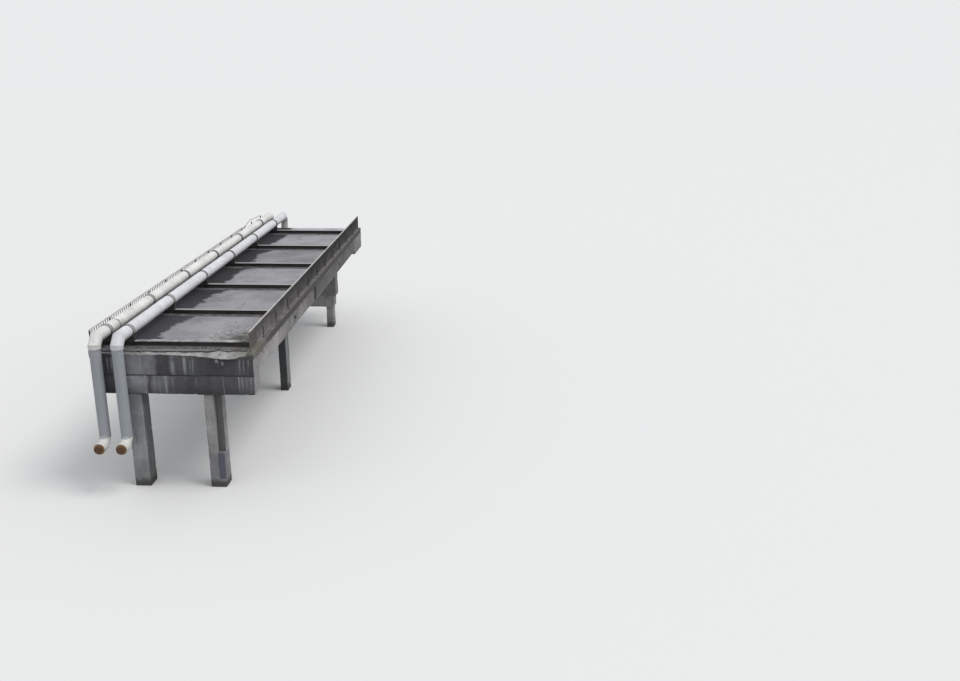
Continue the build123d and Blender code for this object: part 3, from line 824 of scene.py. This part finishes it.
def add_rod(shape, x, y, low, high, radius, sides):
    """A closed upright bar from low to high."""
    line = Vector((0, 0, high - low))
    matrix = Matrix.Translation((x, y, (low + high) / 2)) @ line.to_track_quat("Z", "Y").to_matrix().to_4x4()
    bmesh.ops.create_cone(
        shape, cap_ends=True, segments=sides, radius1=radius, radius2=radius, depth=line.length,
        matrix=matrix)


def join_rings(shape, rings):
    """Faces between each ring of corners and the next one."""
    for ring, following in zip(rings, rings[1:]):
        for index in range(len(ring)):
            after = (index + 1) % len(ring)
            shape.faces.new((ring[index], following[index], following[after], ring[after]))


def add_ring(shape, centre, across, up, profile, sides=56):
    """A ring round a pipe: across and up are its half axes, profile its section as (along, outward)."""
    normal = across.cross(up).normalized()
    rings = []
    for step in range(sides):
        angle = 2 * math.pi * step / sides
        spot = across * math.cos(angle) + up * math.sin(angle)
        outward = spot.normalized()
        rings.append([
            shape.verts.new(centre + spot + normal * along + outward * out) for along, out in profile])
    join_rings(shape, rings + rings[:1])


def add_bead(shape, centre, across, up, size, height):
    """A rolled seam round a pipe."""
    flank, crown, root = (size * 0.6, height * 0.8), (0.0, height), (0.0, -height * 0.5)
    add_ring(shape, centre, across, up, [
        (-size, 0.0), (-flank[0], flank[1]), crown, flank, (size, 0.0), root])


def add_band(shape, x, y, z, radius, width, thickness):
    """A flat clamp band round a stretch of pipe along the bridge."""
    across, up = Vector((radius, 0, 0)), Vector((0, 0, radius))
    add_ring(shape, Vector((x, y, z)), across, up, [
        (width / 2, 0.0), (width / 2, thickness), (-width / 2, thickness), (-width / 2, 0.0)])


def add_stone(shape, centre, size, chance):
    """One angular lump of broken concrete, flattened and turned at random."""
    turn = Matrix.Rotation(chance.uniform(0, math.tau), 4, "Z")
    turn = turn @ Matrix.Rotation(chance.uniform(-0.5, 0.5), 4, "X")
    stretch = Matrix.Diagonal((
        size * chance.uniform(0.8, 1.4), size * chance.uniform(0.6, 1.0),
        size * chance.uniform(0.35, 0.7), 1))
    made = bmesh.ops.create_icosphere(
        shape, subdivisions=1, radius=0.5, matrix=Matrix.Translation(centre) @ turn @ stretch)
    for vert in made["verts"]:
        vert.co = centre + (vert.co - centre) * chance.uniform(0.75, 1.25)


def value_between(points, place):
    """The value at a place, along straight lines between (place, value) points."""
    for (start, low), (end, high) in zip(points, points[1:]):
        if place <= end:
            share = max(0.0, (place - start) / (end - start))
            return low + (high - low) * share
    return points[-1][1]


def heap_surface(shape, x_range, y_range, cell, floor, height):
    """A closed low heap: height(x, y) gives its top above floor, and the underside is flat."""
    columns = max(2, int((x_range[1] - x_range[0]) / cell))
    rows = max(2, int((y_range[1] - y_range[0]) / cell))
    least, sunk = 0.003, 0.004
    tops, bases = [], []
    for i in range(columns + 1):
        x = x_range[0] + (x_range[1] - x_range[0]) * i / columns
        tops.append([])
        bases.append([])
        for j in range(rows + 1):
            y = y_range[0] + (y_range[1] - y_range[0]) * j / rows
            tops[-1].append(shape.verts.new((x, y, floor + max(least, height(x, y)))))
            bases[-1].append(shape.verts.new((x, y, floor - sunk)))
    for i in range(columns):
        for j in range(rows):
            shape.faces.new((tops[i][j], tops[i + 1][j], tops[i + 1][j + 1], tops[i][j + 1]))
            shape.faces.new((bases[i][j], bases[i][j + 1], bases[i + 1][j + 1], bases[i + 1][j]))
    border = [(i, 0) for i in range(columns)] + [(columns, j) for j in range(rows)]
    border += [(i, rows) for i in range(columns, 0, -1)] + [(0, j) for j in range(rows, 0, -1)]
    for (i, j), (k, m) in zip(border, border[1:] + border[:1]):
        shape.faces.new((tops[k][m], tops[i][j], bases[i][j], bases[k][m]))


# Operators, one for each kind of piece

class DressBents(bpy.types.Operator):
    """Columns, crossheads and walls of the three bents as worn cast concrete"""
    bl_idname = "bridge.dress_bents"
    bl_label = "Bents"

    # Shade factors across the end wall and the crosshead below it, as (place, factor); the crosshead's dip at
    # -1.22 is a painted shadow beside the left capital
    wall_tones = (
        (-4.10, 0.20), (-3.3, 0.26), (-2.6, 0.40), (-2.2, 0.78), (-1.6, 0.84), (-0.95, 0.74), (-0.70, 0.24),
        (-0.2, 0.19), (0.02, 0.54), (0.22, 0.30), (0.6, 0.34), (1.0, 0.34), (1.5, 0.24), (3.15, 0.24),
        (3.35, 0.29), (4.0, 0.26))
    crosshead_tones = (
        (-4.0, 0.20), (-3.0, 0.30), (-2.7, 0.95), (-1.9, 1.0), (-1.35, 0.90), (-1.22, 0.30), (-1.0, 0.62),
        (-0.35, 0.66), (-0.2, 0.46), (0.6, 0.42), (0.8, 0.30), (1.8, 0.31), (2.1, 0.42), (2.9, 0.44),
        (3.15, 0.34), (3.35, 0.47))
    # Pale streaks, as (place, half width, strength, start, length)
    wall_runs = (
        (-3.26, 0.07, 0.75, 0.15, 0.8), (-3.05, 0.07, 0.75, 0.15, 0.8), (-1.60, 0.10, 0.45, 0.0, 1.1),
        (-1.95, 0.04, 0.35, 0.0, 1.0), (-1.2, 0.05, 0.3, 0.1, 0.9), (0.03, 0.14, 0.55, 0.35, 0.7),
        (0.65, 0.11, 0.90, 0.10, 1.1), (0.91, 0.04, 0.45, 0.2, 0.9), (1.05, 0.05, 0.5, 0.15, 1.0),
        (2.26, 0.11, 1.0, 0.20, 0.20), (2.55, 0.08, 0.9, 0.30, 0.24), (3.42, 0.07, 0.45, 0.15, 1.0),
        (3.62, 0.05, 0.4, 0.2, 0.9), (3.85, 0.06, 0.4, 0.2, 0.9))
    crosshead_runs = (
        (-0.97, 0.06, 0.45, 0.0, 1.1), (-0.72, 0.05, 0.35, 0.1, 1.0), (-0.40, 0.10, 0.75, 0.02, 1.2),
        (-0.05, 0.05, 0.35, 0.1, 0.9), (1.15, 0.06, 0.45, 0.05, 0.7), (3.32, 0.06, 0.75, 0.02, 1.0),
        (3.50, 0.05, 0.6, 0.05, 0.9), (3.72, 0.05, 0.5, 0.05, 0.8), (3.92, 0.05, 0.6, 0.05, 0.9))

    def execute(self, context):
        settings = context.scene.bridge_concrete
        wall = end_face_concrete(
            settings, "end_wall_concrete", wall_high.z + 0.15, self.wall_tones, self.wall_runs)
        crosshead = end_face_concrete(
            settings, "crosshead_concrete", crosshead_top, self.crosshead_tones, self.crosshead_runs,
            low_tone=0.62, shadow_line=(-2.81, -1.43, 5.1, 5.15))
        # The numbers after each colour are painted light and shade on the near and right faces
        near = bent_concrete(settings, "near_column_concrete", settings.bent_colour, 1.95)
        rebated = bent_concrete(
            settings, "rebated_column_concrete", settings.rebated_colour, 2.0, 2.2, rebate=True)
        # The middle bent stands in the deck's shadow: its colour darkened as painted shade, its near faces
        # darker still, its right faces paler as painted light
        dark = bent_concrete(settings, "shaded_concrete", tint(settings.bent_colour, 0.62), 0.68, 2.5)
        far = bent_concrete(settings, "far_bent_concrete", settings.far_colour)
        far_wall = bent_concrete(settings, "far_wall_concrete", tint(settings.far_colour, 0.75), foot=False)
        for material, nodes in (
                (wall, ["near_end_wall"]), (crosshead, ["near_crosshead"]), (near, ["near_left_column"]),
                (rebated, ["near_right_column"]),
                (dark, ["middle_left_column", "middle_right_column", "middle_crosshead"]),
                (far, ["far_left_column", "far_right_column", "far_crosshead"]),
                (far_wall, ["abutment_wall", "back_wall", "left_wing_wall", "right_wing_wall"])):
            for node in nodes:
                worn_cast(node, material, settings.cell, settings.chip_depth)
        return {"FINISHED"}


class DressBeams(bpy.types.Operator):
    """Edge beams, inner beams and diaphragms of both spans"""
    bl_idname = "bridge.dress_beams"
    bl_label = "Beams"

    def execute(self, context):
        settings = context.scene.bridge_concrete
        material = beam_concrete(settings)
        for span in ("first_span", "second_span"):
            for side in ("left", "right"):
                worn_cast(f"{span}_{side}_beam", material, settings.cell,
                          settings.chip_depth * 0.7)
            for node in (f"{span}_inner_beams", f"{span}_diaphragm"):
                dress(node, material)
        return {"FINISHED"}


class DressDeck(bpy.types.Operator):
    """Deck slabs and kerbs with crumbled edges"""
    bl_idname = "bridge.dress_deck"
    bl_label = "Deck and kerbs"

    def execute(self, context):
        settings = context.scene.bridge_concrete
        deck, kerb = deck_surface(settings), kerb_concrete(settings)
        for slab, break_reach in (
                ("first_deck_slab", 1.2), ("second_deck_slab", 0.0), ("approach_slab", 0.0)):
            worn_cast(slab, deck, settings.cell * 1.6, settings.chip_depth, break_reach)
        for side in ("left", "right"):
            worn_cast(f"{side}_kerb", kerb, settings.cell, settings.chip_depth)
        return {"FINISHED"}


class BreakNearEdge(bpy.types.Operator):
    """Crumbled ledge along the deck's near edge, with loose lumps on it and on the deck"""
    bl_idname = "bridge.break_near_edge"
    bl_label = "Broken near edge"

    # Height of the ledge's front edge over the end wall, at places across the bridge
    ledge_edge = (
        (-3.8, 0.19), (-0.5, 0.19), (1.0, 0.14), (2.15, 0.05), (2.7, 0.02), (3.2, 0.03), (3.45, 0.12),
        (3.8, 0.17))
    # How far the ledge spills forward over the end wall
    ledge_spill = ((-3.8, 0.0), (1.6, 0.01), (2.2, 0.06), (2.7, 0.11), (3.2, 0.10), (3.5, 0.04), (3.8, 0.01))
    ledge_half_width, ledge_depth, ledge_height = 3.79, 0.50, 0.245
    lump_sizes = (0.03, 0.11)

    def execute(self, context):
        material = rubble_stone(context.scene.bridge_concrete)
        self.lay_ledge(material)
        self.drop_lumps(material)
        self.crust_first_support(material)
        return {"FINISHED"}

    def lay_ledge(self, material):
        def crust(x, y):
            edge = value_between(self.ledge_edge, x)
            rise = max(0.0, min(1.0, (y - front) / 0.42))
            place = Vector((x, y, 0))
            thick = edge + (self.ledge_height - edge) * rise ** 0.8
            return thick + 0.016 * wear(place, 0.5) + 0.016 * wear(place, 0.12)

        ledge = bmesh.new()
        heap_surface(ledge, (-self.ledge_half_width, self.ledge_half_width),
                     (front + 0.002, front + self.ledge_depth), 0.04, wall_high.z, crust)
        for vert in ledge.verts:
            near = max(0.0, 1 - (vert.co.y - front) / 0.16)
            place = Vector((vert.co.x, 0, 4.0))
            spill = value_between(self.ledge_spill, vert.co.x)
            vert.co.y -= near * (spill * (1 + 0.5 * wear(place, 0.3)) + 0.012 * wear(place, 0.25))
        ledge.normal_update()
        for face in ledge.faces:
            if face.normal.y < -0.6:
                face.material_index = 1
        piece = show_piece("broken_ledge", ledge, material)
        piece.data.materials.append(bpy.data.materials["end_wall_concrete"])

    def drop_lumps(self, material):
        chance = random.Random(11)
        lumps = bmesh.new()
        for _ in range(110):
            size = chance.uniform(*self.lump_sizes)
            x = chance.triangular(wall_low.x + 0.6, kerb_low.x - 0.1, 2.6)
            y = front + chance.uniform(0.02, 0.20)
            rest = wall_high.z + value_between(self.ledge_edge, x) + (y - front) * 0.3
            add_stone(lumps, Vector((x, y, rest)), size, chance)
        for _ in range(260):
            size = chance.uniform(*self.lump_sizes)
            x = min(deck_high.x - 0.1, chance.gauss(2.6, 0.8))
            y = front + max(0.75, chance.gauss(2.7, 1.4))
            if abs(y - support_lines[0]) < half_flange + 0.03:
                continue
            add_stone(lumps, Vector((x, y, deck_top + size * 0.12)), size, chance)
        show_piece("loose_lumps", lumps, material)

    def crust_first_support(self, material):
        """A torn sheet of old paving that still lies on the first support."""
        def sheet(x, y):
            place = Vector((x, y, 9.0))
            return 0.030 + 0.020 * wear(place, 0.45) + 0.012 * wear(place, 0.1)

        crust = bmesh.new()
        line = support_lines[0]
        for x_range, reach in (((-0.6, 3.70), 0.15), ((-1.38, -0.66), 0.13), ((-1.92, -1.50), 0.12)):
            heap_surface(crust, x_range, (line - reach, line + reach), 0.035, support_top, sheet)
        for vert in crust.verts:
            torn = wear(Vector((vert.co.x, 0, 2.0)), 0.22) + 0.6 * wear(Vector((vert.co.x, 0, 6.0)), 0.07)
            edge = max(0.0, abs(vert.co.y - line) / 0.15 - 0.4)
            vert.co.y += 0.05 * torn * edge * (1 if vert.co.y > line else -1)
            vert.co.z += 0.012 * max(0.0, torn) * edge
        show_piece("crust_on_first_support", crust, material)


class LaySilt(bpy.types.Operator):
    """Low drifts of silt against the supports and along the kerbs"""
    bl_idname = "bridge.lay_silt"
    bl_label = "Silt drifts"

    support_drift, kerb_drift = 0.30, 0.35

    def execute(self, context):
        drifts = bmesh.new()
        for line in support_lines:
            def against_support(x, y):
                rise = 0.045 * (0.5 + wear(Vector((x, y, 1.0)), 0.9))
                return rise * max(0.0, 1 - (abs(y - line) - half_flange) / self.support_drift)

            for start in (line - half_flange - self.support_drift, line + half_flange):
                heap_surface(drifts, (deck_low.x + 0.05, deck_high.x - 0.05),
                             (start, start + self.support_drift), 0.075, deck_top, against_support)
        for wall, x_range in (
                (deck_low.x, (deck_low.x, deck_low.x + self.kerb_drift)),
                (deck_high.x, (deck_high.x - self.kerb_drift, deck_high.x))):
            def against_kerb(x, y):
                rise = 0.06 * (0.45 + wear(Vector((x, y, 5.0)), 1.4))
                return rise * max(0.0, 1 - abs(x - wall) / self.kerb_drift)

            heap_surface(drifts, x_range, (front + 1.3, back - 0.1), 0.10, deck_top, against_kerb)
        show_piece("silt_drifts", drifts, silt_finish())
        return {"FINISHED"}


class JacketPipes(bpy.types.Operator):
    """Pipe jackets with their rolled seams, lap joints, rivets and bands"""
    bl_idname = "bridge.jacket_pipes"
    bl_label = "Pipe jackets"

    half_mitre = math.radians(22.5)
    lap_angle = math.radians(-28)
    lap_inset, rivet_pitch = 0.16, 0.25

    def execute(self, context):
        settings = context.scene.bridge_pipes
        finishes = {
            "outer": jacket_finish("outer_jacket", settings.outer_colour, settings),
            "inner": jacket_finish("inner_jacket", settings.inner_colour, settings)}
        riser_finish = jacket_finish("riser_jacket", settings.riser_colour, settings, riser=True)
        for pipe, x in pipe_lines.items():
            dress(f"{pipe}_pipe_run", finishes[pipe])
            self.seam_run(settings, pipe, x, finishes[pipe])
            for end in ("near", "far"):
                dress(f"{pipe}_{end}_upper_bend", finishes[pipe])
                dress(f"{pipe}_{end}_riser", riser_finish)
                self.seam_bend(settings, pipe, end, x, finishes[pipe])
                self.seam_riser(settings, pipe, end, x, riser_finish)
        return {"FINISHED"}

    def seam_run(self, settings, pipe, x, finish):
        """Rings between the sheets of the straight run, and a riveted lap along it."""
        seams = bmesh.new()
        start, end = outer_low.y, outer_high.y
        count = round((end - start) / settings.sheet_length)
        chance = random.Random(5 if pipe == "outer" else 6)
        across, up = Vector((pipe_radius, 0, 0)), Vector((0, 0, pipe_radius))
        for index in range(count + 1):
            y = start + (end - start) * index / count + chance.uniform(-0.02, 0.02)
            if min(abs(y - line) for line in support_lines) >= 0.2:
                add_bead(seams, Vector((x, y, pipe_level)), across, up, settings.bead, 0.006)
        outward = Vector((math.cos(self.lap_angle), 0, math.sin(self.lap_angle)))
        turn = Matrix.Rotation(-self.lap_angle, 4, "Y")
        bounds = [start, *support_lines, end]
        for first, second in zip(bounds, bounds[1:]):
            length = second - first - 2 * self.lap_inset
            centre = Vector((x, (first + second) / 2, pipe_level)) + outward * (pipe_radius + 0.001)
            add_box(seams, centre, (0.004, length, 0.035), turn)
            for index in range(int(length / self.rivet_pitch)):
                y = first + self.lap_inset + 0.12 + self.rivet_pitch * index
                spot = Vector((x, y, pipe_level)) + outward * (pipe_radius + 0.003)
                bmesh.ops.create_uvsphere(
                    seams, u_segments=8, v_segments=5, radius=0.007, matrix=Matrix.Translation(spot))
        show_piece(f"{pipe}_run_seams", seams, finish)

    def bead_mitres(self, settings, seams, joints, side, radius):
        """Beads on the two cut joints of a bend, the upright pipe's joint first."""
        stretch = radius / math.cos(self.half_mitre)
        rise, lean = math.cos(self.half_mitre) * stretch, -side * math.sin(self.half_mitre) * stretch
        for joint, up in zip(joints, (Vector((0, rise, lean)), Vector((0, lean, rise)))):
            add_bead(seams, joint, Vector((radius, 0, 0)), up, settings.bead, 0.007)

    def seam_bend(self, settings, pipe, end, x, finish):
        """Beads on an upper bend's joints and a collar where it meets the riser."""
        seams = bmesh.new()
        y, side = riser_lines[end], -away[end]
        joints = Vector((x, y, pipe_level - bend_length)), Vector((x, y + side * bend_length, pipe_level))
        self.bead_mitres(settings, seams, joints, side, pipe_radius)
        collar, half_width = Vector((x, y, riser_top + 0.012)), 0.012
        add_bead(seams, collar, Vector((pipe_radius, 0, 0)), Vector((0, pipe_radius, 0)), half_width, 0.006)
        show_piece(f"{pipe}_{end}_bend_seams", seams, finish)

    def seam_riser(self, settings, pipe, end, x, finish):
        """Rings on a riser, beads on its lower bend's joints and a band at the stub's end."""
        seams = bmesh.new()
        y, side = riser_lines[end], away[end]
        across, along = Vector((riser_radius, 0, 0)), Vector((0, riser_radius, 0))
        height = riser_top - 0.9
        while height > riser_foot + 0.2:
            add_bead(seams, Vector((x, y, height)), across, along, settings.bead, 0.006)
            height -= settings.sheet_length
        joints = Vector((x, y, riser_foot)), Vector((x, y + side * bend_length, lower_bend_height))
        self.bead_mitres(settings, seams, joints, side, riser_radius)
        add_band(seams, x, side * (stub_end - 0.04), lower_bend_height, riser_radius, 0.06, 0.004)
        show_piece(f"{pipe}_{end}_riser_seams", seams, finish)


class FitSupports(bpy.types.Operator):
    """Pipe supports in dark steel, with bolted strap ears, stiffeners and an extra clamp"""
    bl_idname = "bridge.fit_supports"
    bl_label = "Pipe supports"

    rim_offset, rim_width, rim_height = 0.108, 0.044, 0.020
    bolt_inset, bolt_offset = 0.013, 0.075
    # Each nut and each bolt's end over the saddle, as (bottom, top, radius, sides)
    bolt_forms = ((0.009, 0.026, 0.017, 6), (0.02, 0.042, 0.009, 8))

    def execute(self, context):
        settings = context.scene.bridge_steel
        beam_steel = dark_steel(settings, "support_steel", 0.95, straps=True)
        for index in range(1, 7):
            dress(f"pipe_support_{index}", beam_steel)
        fittings = bmesh.new()
        for line in support_lines:
            for x in pipe_lines.values():
                self.fit_strap(fittings, x, line)
        clamp_x, clamp_y = pipe_lines["outer"], front + 2.15
        add_band(fittings, clamp_x, clamp_y, pipe_level, pipe_radius, 0.05, 0.006)
        add_box(fittings, (clamp_x + 0.21, clamp_y, pipe_level + pipe_radius * 0.80), (0.05, 0.045, 0.04))
        show_piece("strap_fittings", fittings, dark_steel(settings, "fitting_steel", 0.12))
        return {"FINISHED"}

    def fit_strap(self, fittings, x, line):
        """Raised strap rims, and on each side an ear with two nuts and bolts and a stiffener on each face."""
        for rim in (-self.rim_offset, self.rim_offset):
            add_band(fittings, x, line + rim, pipe_level, pipe_radius, self.rim_width, self.rim_height)
        for side in (-1, 1):
            bolt_x = x + side * (saddle_half_width - self.bolt_inset)
            add_box(fittings, (bolt_x, line, saddle_top + 0.005), (0.05, 0.22, 0.012))
            for y in (line - self.bolt_offset, line + self.bolt_offset):
                for low, high, radius, sides in self.bolt_forms:
                    add_rod(fittings, bolt_x, y, saddle_top + low, saddle_top + high, radius, sides)
            for face in (-1, 1):
                add_box(fittings, (x + side * 0.24, line + face * 0.070, deck_top + support_height / 2),
                        (0.012, 0.125, support_height - 0.034))


class DressRailings(bpy.types.Operator):
    """Railings in faded brown, on bolted post plates"""
    bl_idname = "bridge.dress_railings"
    bl_label = "Railings"

    plate_width, bolt_spread = 0.16, 0.058

    def execute(self, context):
        finish = railing_finish(context.scene.bridge_steel)
        for side in ("left", "right"):
            for part in ("near", "far"):
                dress(f"{side}_railing_{part}", finish)
        self.bolt_plates(finish)
        self.close_pickets(finish)
        return {"FINISHED"}

    def bolt_plates(self, finish):
        plates = bmesh.new()
        for x in (-rail_line, rail_line):
            for y in post_lines:
                plate_y = max(y, front + 0.09)
                add_box(plates, (x, plate_y, kerb_top + 0.005), (self.plate_width, self.plate_width, 0.012))
                for bolt_x in (x - self.bolt_spread, x + self.bolt_spread):
                    for bolt_y in (plate_y - self.bolt_spread, plate_y + self.bolt_spread):
                        add_rod(plates, bolt_x, bolt_y, kerb_top + 0.009, kerb_top + 0.028, 0.012, 6)
        show_piece("post_plates", plates, finish)

    def close_pickets(self, finish):
        """The right railing's second row of pickets, one in each gap of the first."""
        pickets = bmesh.new()
        low, high = kerb_top + 0.11, rail_high.z - 0.025
        for start, end in zip(post_lines, post_lines[1:]):
            gaps = round((end - start) / picket_pitch)
            for index in range(gaps):
                y = start + (end - start) * (index + 0.5) / gaps
                add_box(pickets, (rail_line, y, (low + high) / 2), (0.026, 0.026, high - low))
        show_piece("right_close_pickets", pickets, finish)


class FitDrains(bpy.types.Operator):
    """Short deck drain pipes through the edge beams"""
    bl_idname = "bridge.fit_drains"
    bl_label = "Drains"

    fall, radius, bore, sides = 0.07, 0.06, 0.048, 16

    def execute(self, context):
        steel = dark_steel(context.scene.bridge_steel, "drain_steel", 0.3)
        drains = bmesh.new()
        beam_face = wall_high.x
        for side in (-1, 1):
            for y in drain_lines:
                self.add_pipe(drains, Vector((side * (beam_face - 0.03), y, drain_height)),
                              Vector((side * (beam_face + 0.10), y, drain_height - self.fall)))
        show_piece("deck_drains", drains, steel)
        return {"FINISHED"}

    def add_pipe(self, shape, start, end):
        """An open pipe end: outside, rim, bore and a closed bottom inside the beam."""
        line = (end - start).normalized()
        first = line.cross(Vector((0, 0, 1))).normalized()
        second = line.cross(first)

        def ring(centre, reach):
            return [shape.verts.new(centre + (first * math.cos(a) + second * math.sin(a)) * reach)
                    for a in (math.tau * step / self.sides for step in range(self.sides))]

        rings = [ring(start, self.radius), ring(end, self.radius), ring(end, self.bore),
                 ring(start + line * 0.02, self.bore)]
        join_rings(shape, rings)
        shape.faces.new(rings[0])
        shape.faces.new(rings[-1])


class SetStage(bpy.types.Operator):
    """Pale floor, soft light and the camera"""
    bl_idname = "bridge.set_stage"
    bl_label = "Stage"

    def execute(self, context):
        settings = context.scene.bridge_stage
        scene = context.scene
        scene.view_settings.view_transform = "Standard"
        self.lay_floor(scene, settings)
        self.light(scene, settings)
        camera = bpy.data.cameras.new("camera")
        camera.sensor_width = 36.0
        camera.lens = settings.focal_length
        camera.clip_end = 1000.0
        scene.camera = self.place(scene, "camera", camera)
        scene.camera.location = settings.camera_place
        scene.camera.rotation_euler = (math.pi / 2 - settings.camera_pitch, 0, settings.camera_yaw)
        return {"FINISHED"}

    def place(self, scene, name, data):
        thing = bpy.data.objects.new(name, data)
        scene.collection.objects.link(thing)
        return thing

    def lay_floor(self, scene, settings):
        reach = 400.0
        mesh = bpy.data.meshes.new("floor")
        mesh.from_pydata(
            [(-reach, -reach, 0), (reach, -reach, 0), (reach, reach, 0), (-reach, reach, 0)],
            [], [(0, 1, 2, 3)])
        p = Finish("floor")
        seen = p.add("ShaderNodeLightPath").outputs["Is Camera Ray"]
        colour = p.mix(seen, tint(settings.floor_colour, 0.45), settings.floor_colour)
        p.tree.links.new(colour, p.shader["Base Color"])
        p.shader["Roughness"].default_value = 0.9
        mesh.materials.append(p.material)
        self.place(scene, "floor", mesh)

    def light(self, scene, settings):
        """An even sky that the camera sees as the backdrop, and one soft sun."""
        world = bpy.data.worlds.new("sky")
        scene.world = world
        world.use_nodes = True
        n = Nodes(world.node_tree)
        paths = n.add("ShaderNodeLightPath").outputs
        seen = n.calc("MAXIMUM", paths["Is Camera Ray"], paths["Is Transmission Ray"])
        background = n.tree.nodes["Background"].inputs
        n.tree.links.new(n.mix(seen, (0.96, 0.98, 1.0), settings.backdrop_colour), background["Color"])
        n.tree.links.new(n.fade(seen, 0.0, 1.0, settings.sky_strength, 1.0), background["Strength"])
        sun = bpy.data.lights.new("sun", "SUN")
        sun.energy = settings.sun_strength
        sun.angle = math.radians(28)
        sun.color = (1.0, 0.985, 0.96)
        lamp = self.place(scene, "sun", sun)
        lamp.rotation_euler = Vector((0.50, -0.10, 0.86)).to_track_quat("Z", "Y").to_euler()


steps = (
    DressBents, DressBeams, DressDeck, BreakNearEdge, LaySilt, JacketPipes, FitSupports, DressRailings,
    FitDrains, SetStage)


class BridgePanel(bpy.types.Panel):
    """Lists the steps that dress the bridge"""
    bl_idname = "VIEW3D_PT_bridge"
    bl_label = "Pipe Bridge"
    bl_space_type = "VIEW_3D"
    bl_region_type = "UI"
    bl_category = "Bridge"

    def draw(self, context):
        for step in steps:
            self.layout.operator(step.bl_idname)
        for settings in setting_groups:
            group = getattr(context.scene, settings)
            for name in group.bl_rna.properties.keys():
                if name not in ("rna_type", "name"):
                    self.layout.prop(group, name)


setting_groups = {
    "bridge_concrete": ConcreteSettings, "bridge_pipes": PipeSettings, "bridge_steel": SteelSettings,
    "bridge_stage": StageSettings}


def register():
    for kind in (*setting_groups.values(), *steps, BridgePanel):
        bpy.utils.register_class(kind)
    for name, kind in setting_groups.items():
        setattr(bpy.types.Scene, name, bpy.props.PointerProperty(type=kind))


def unregister():
    for name in setting_groups:
        delattr(bpy.types.Scene, name)
    for kind in (BridgePanel, *reversed(steps), *setting_groups.values()):
        bpy.utils.unregister_class(kind)


def main():
    register()
    for step in steps:
        space, name = step.bl_idname.split(".")
        getattr(getattr(bpy.ops, space), name)()


if __name__ == "__main__":
    main()
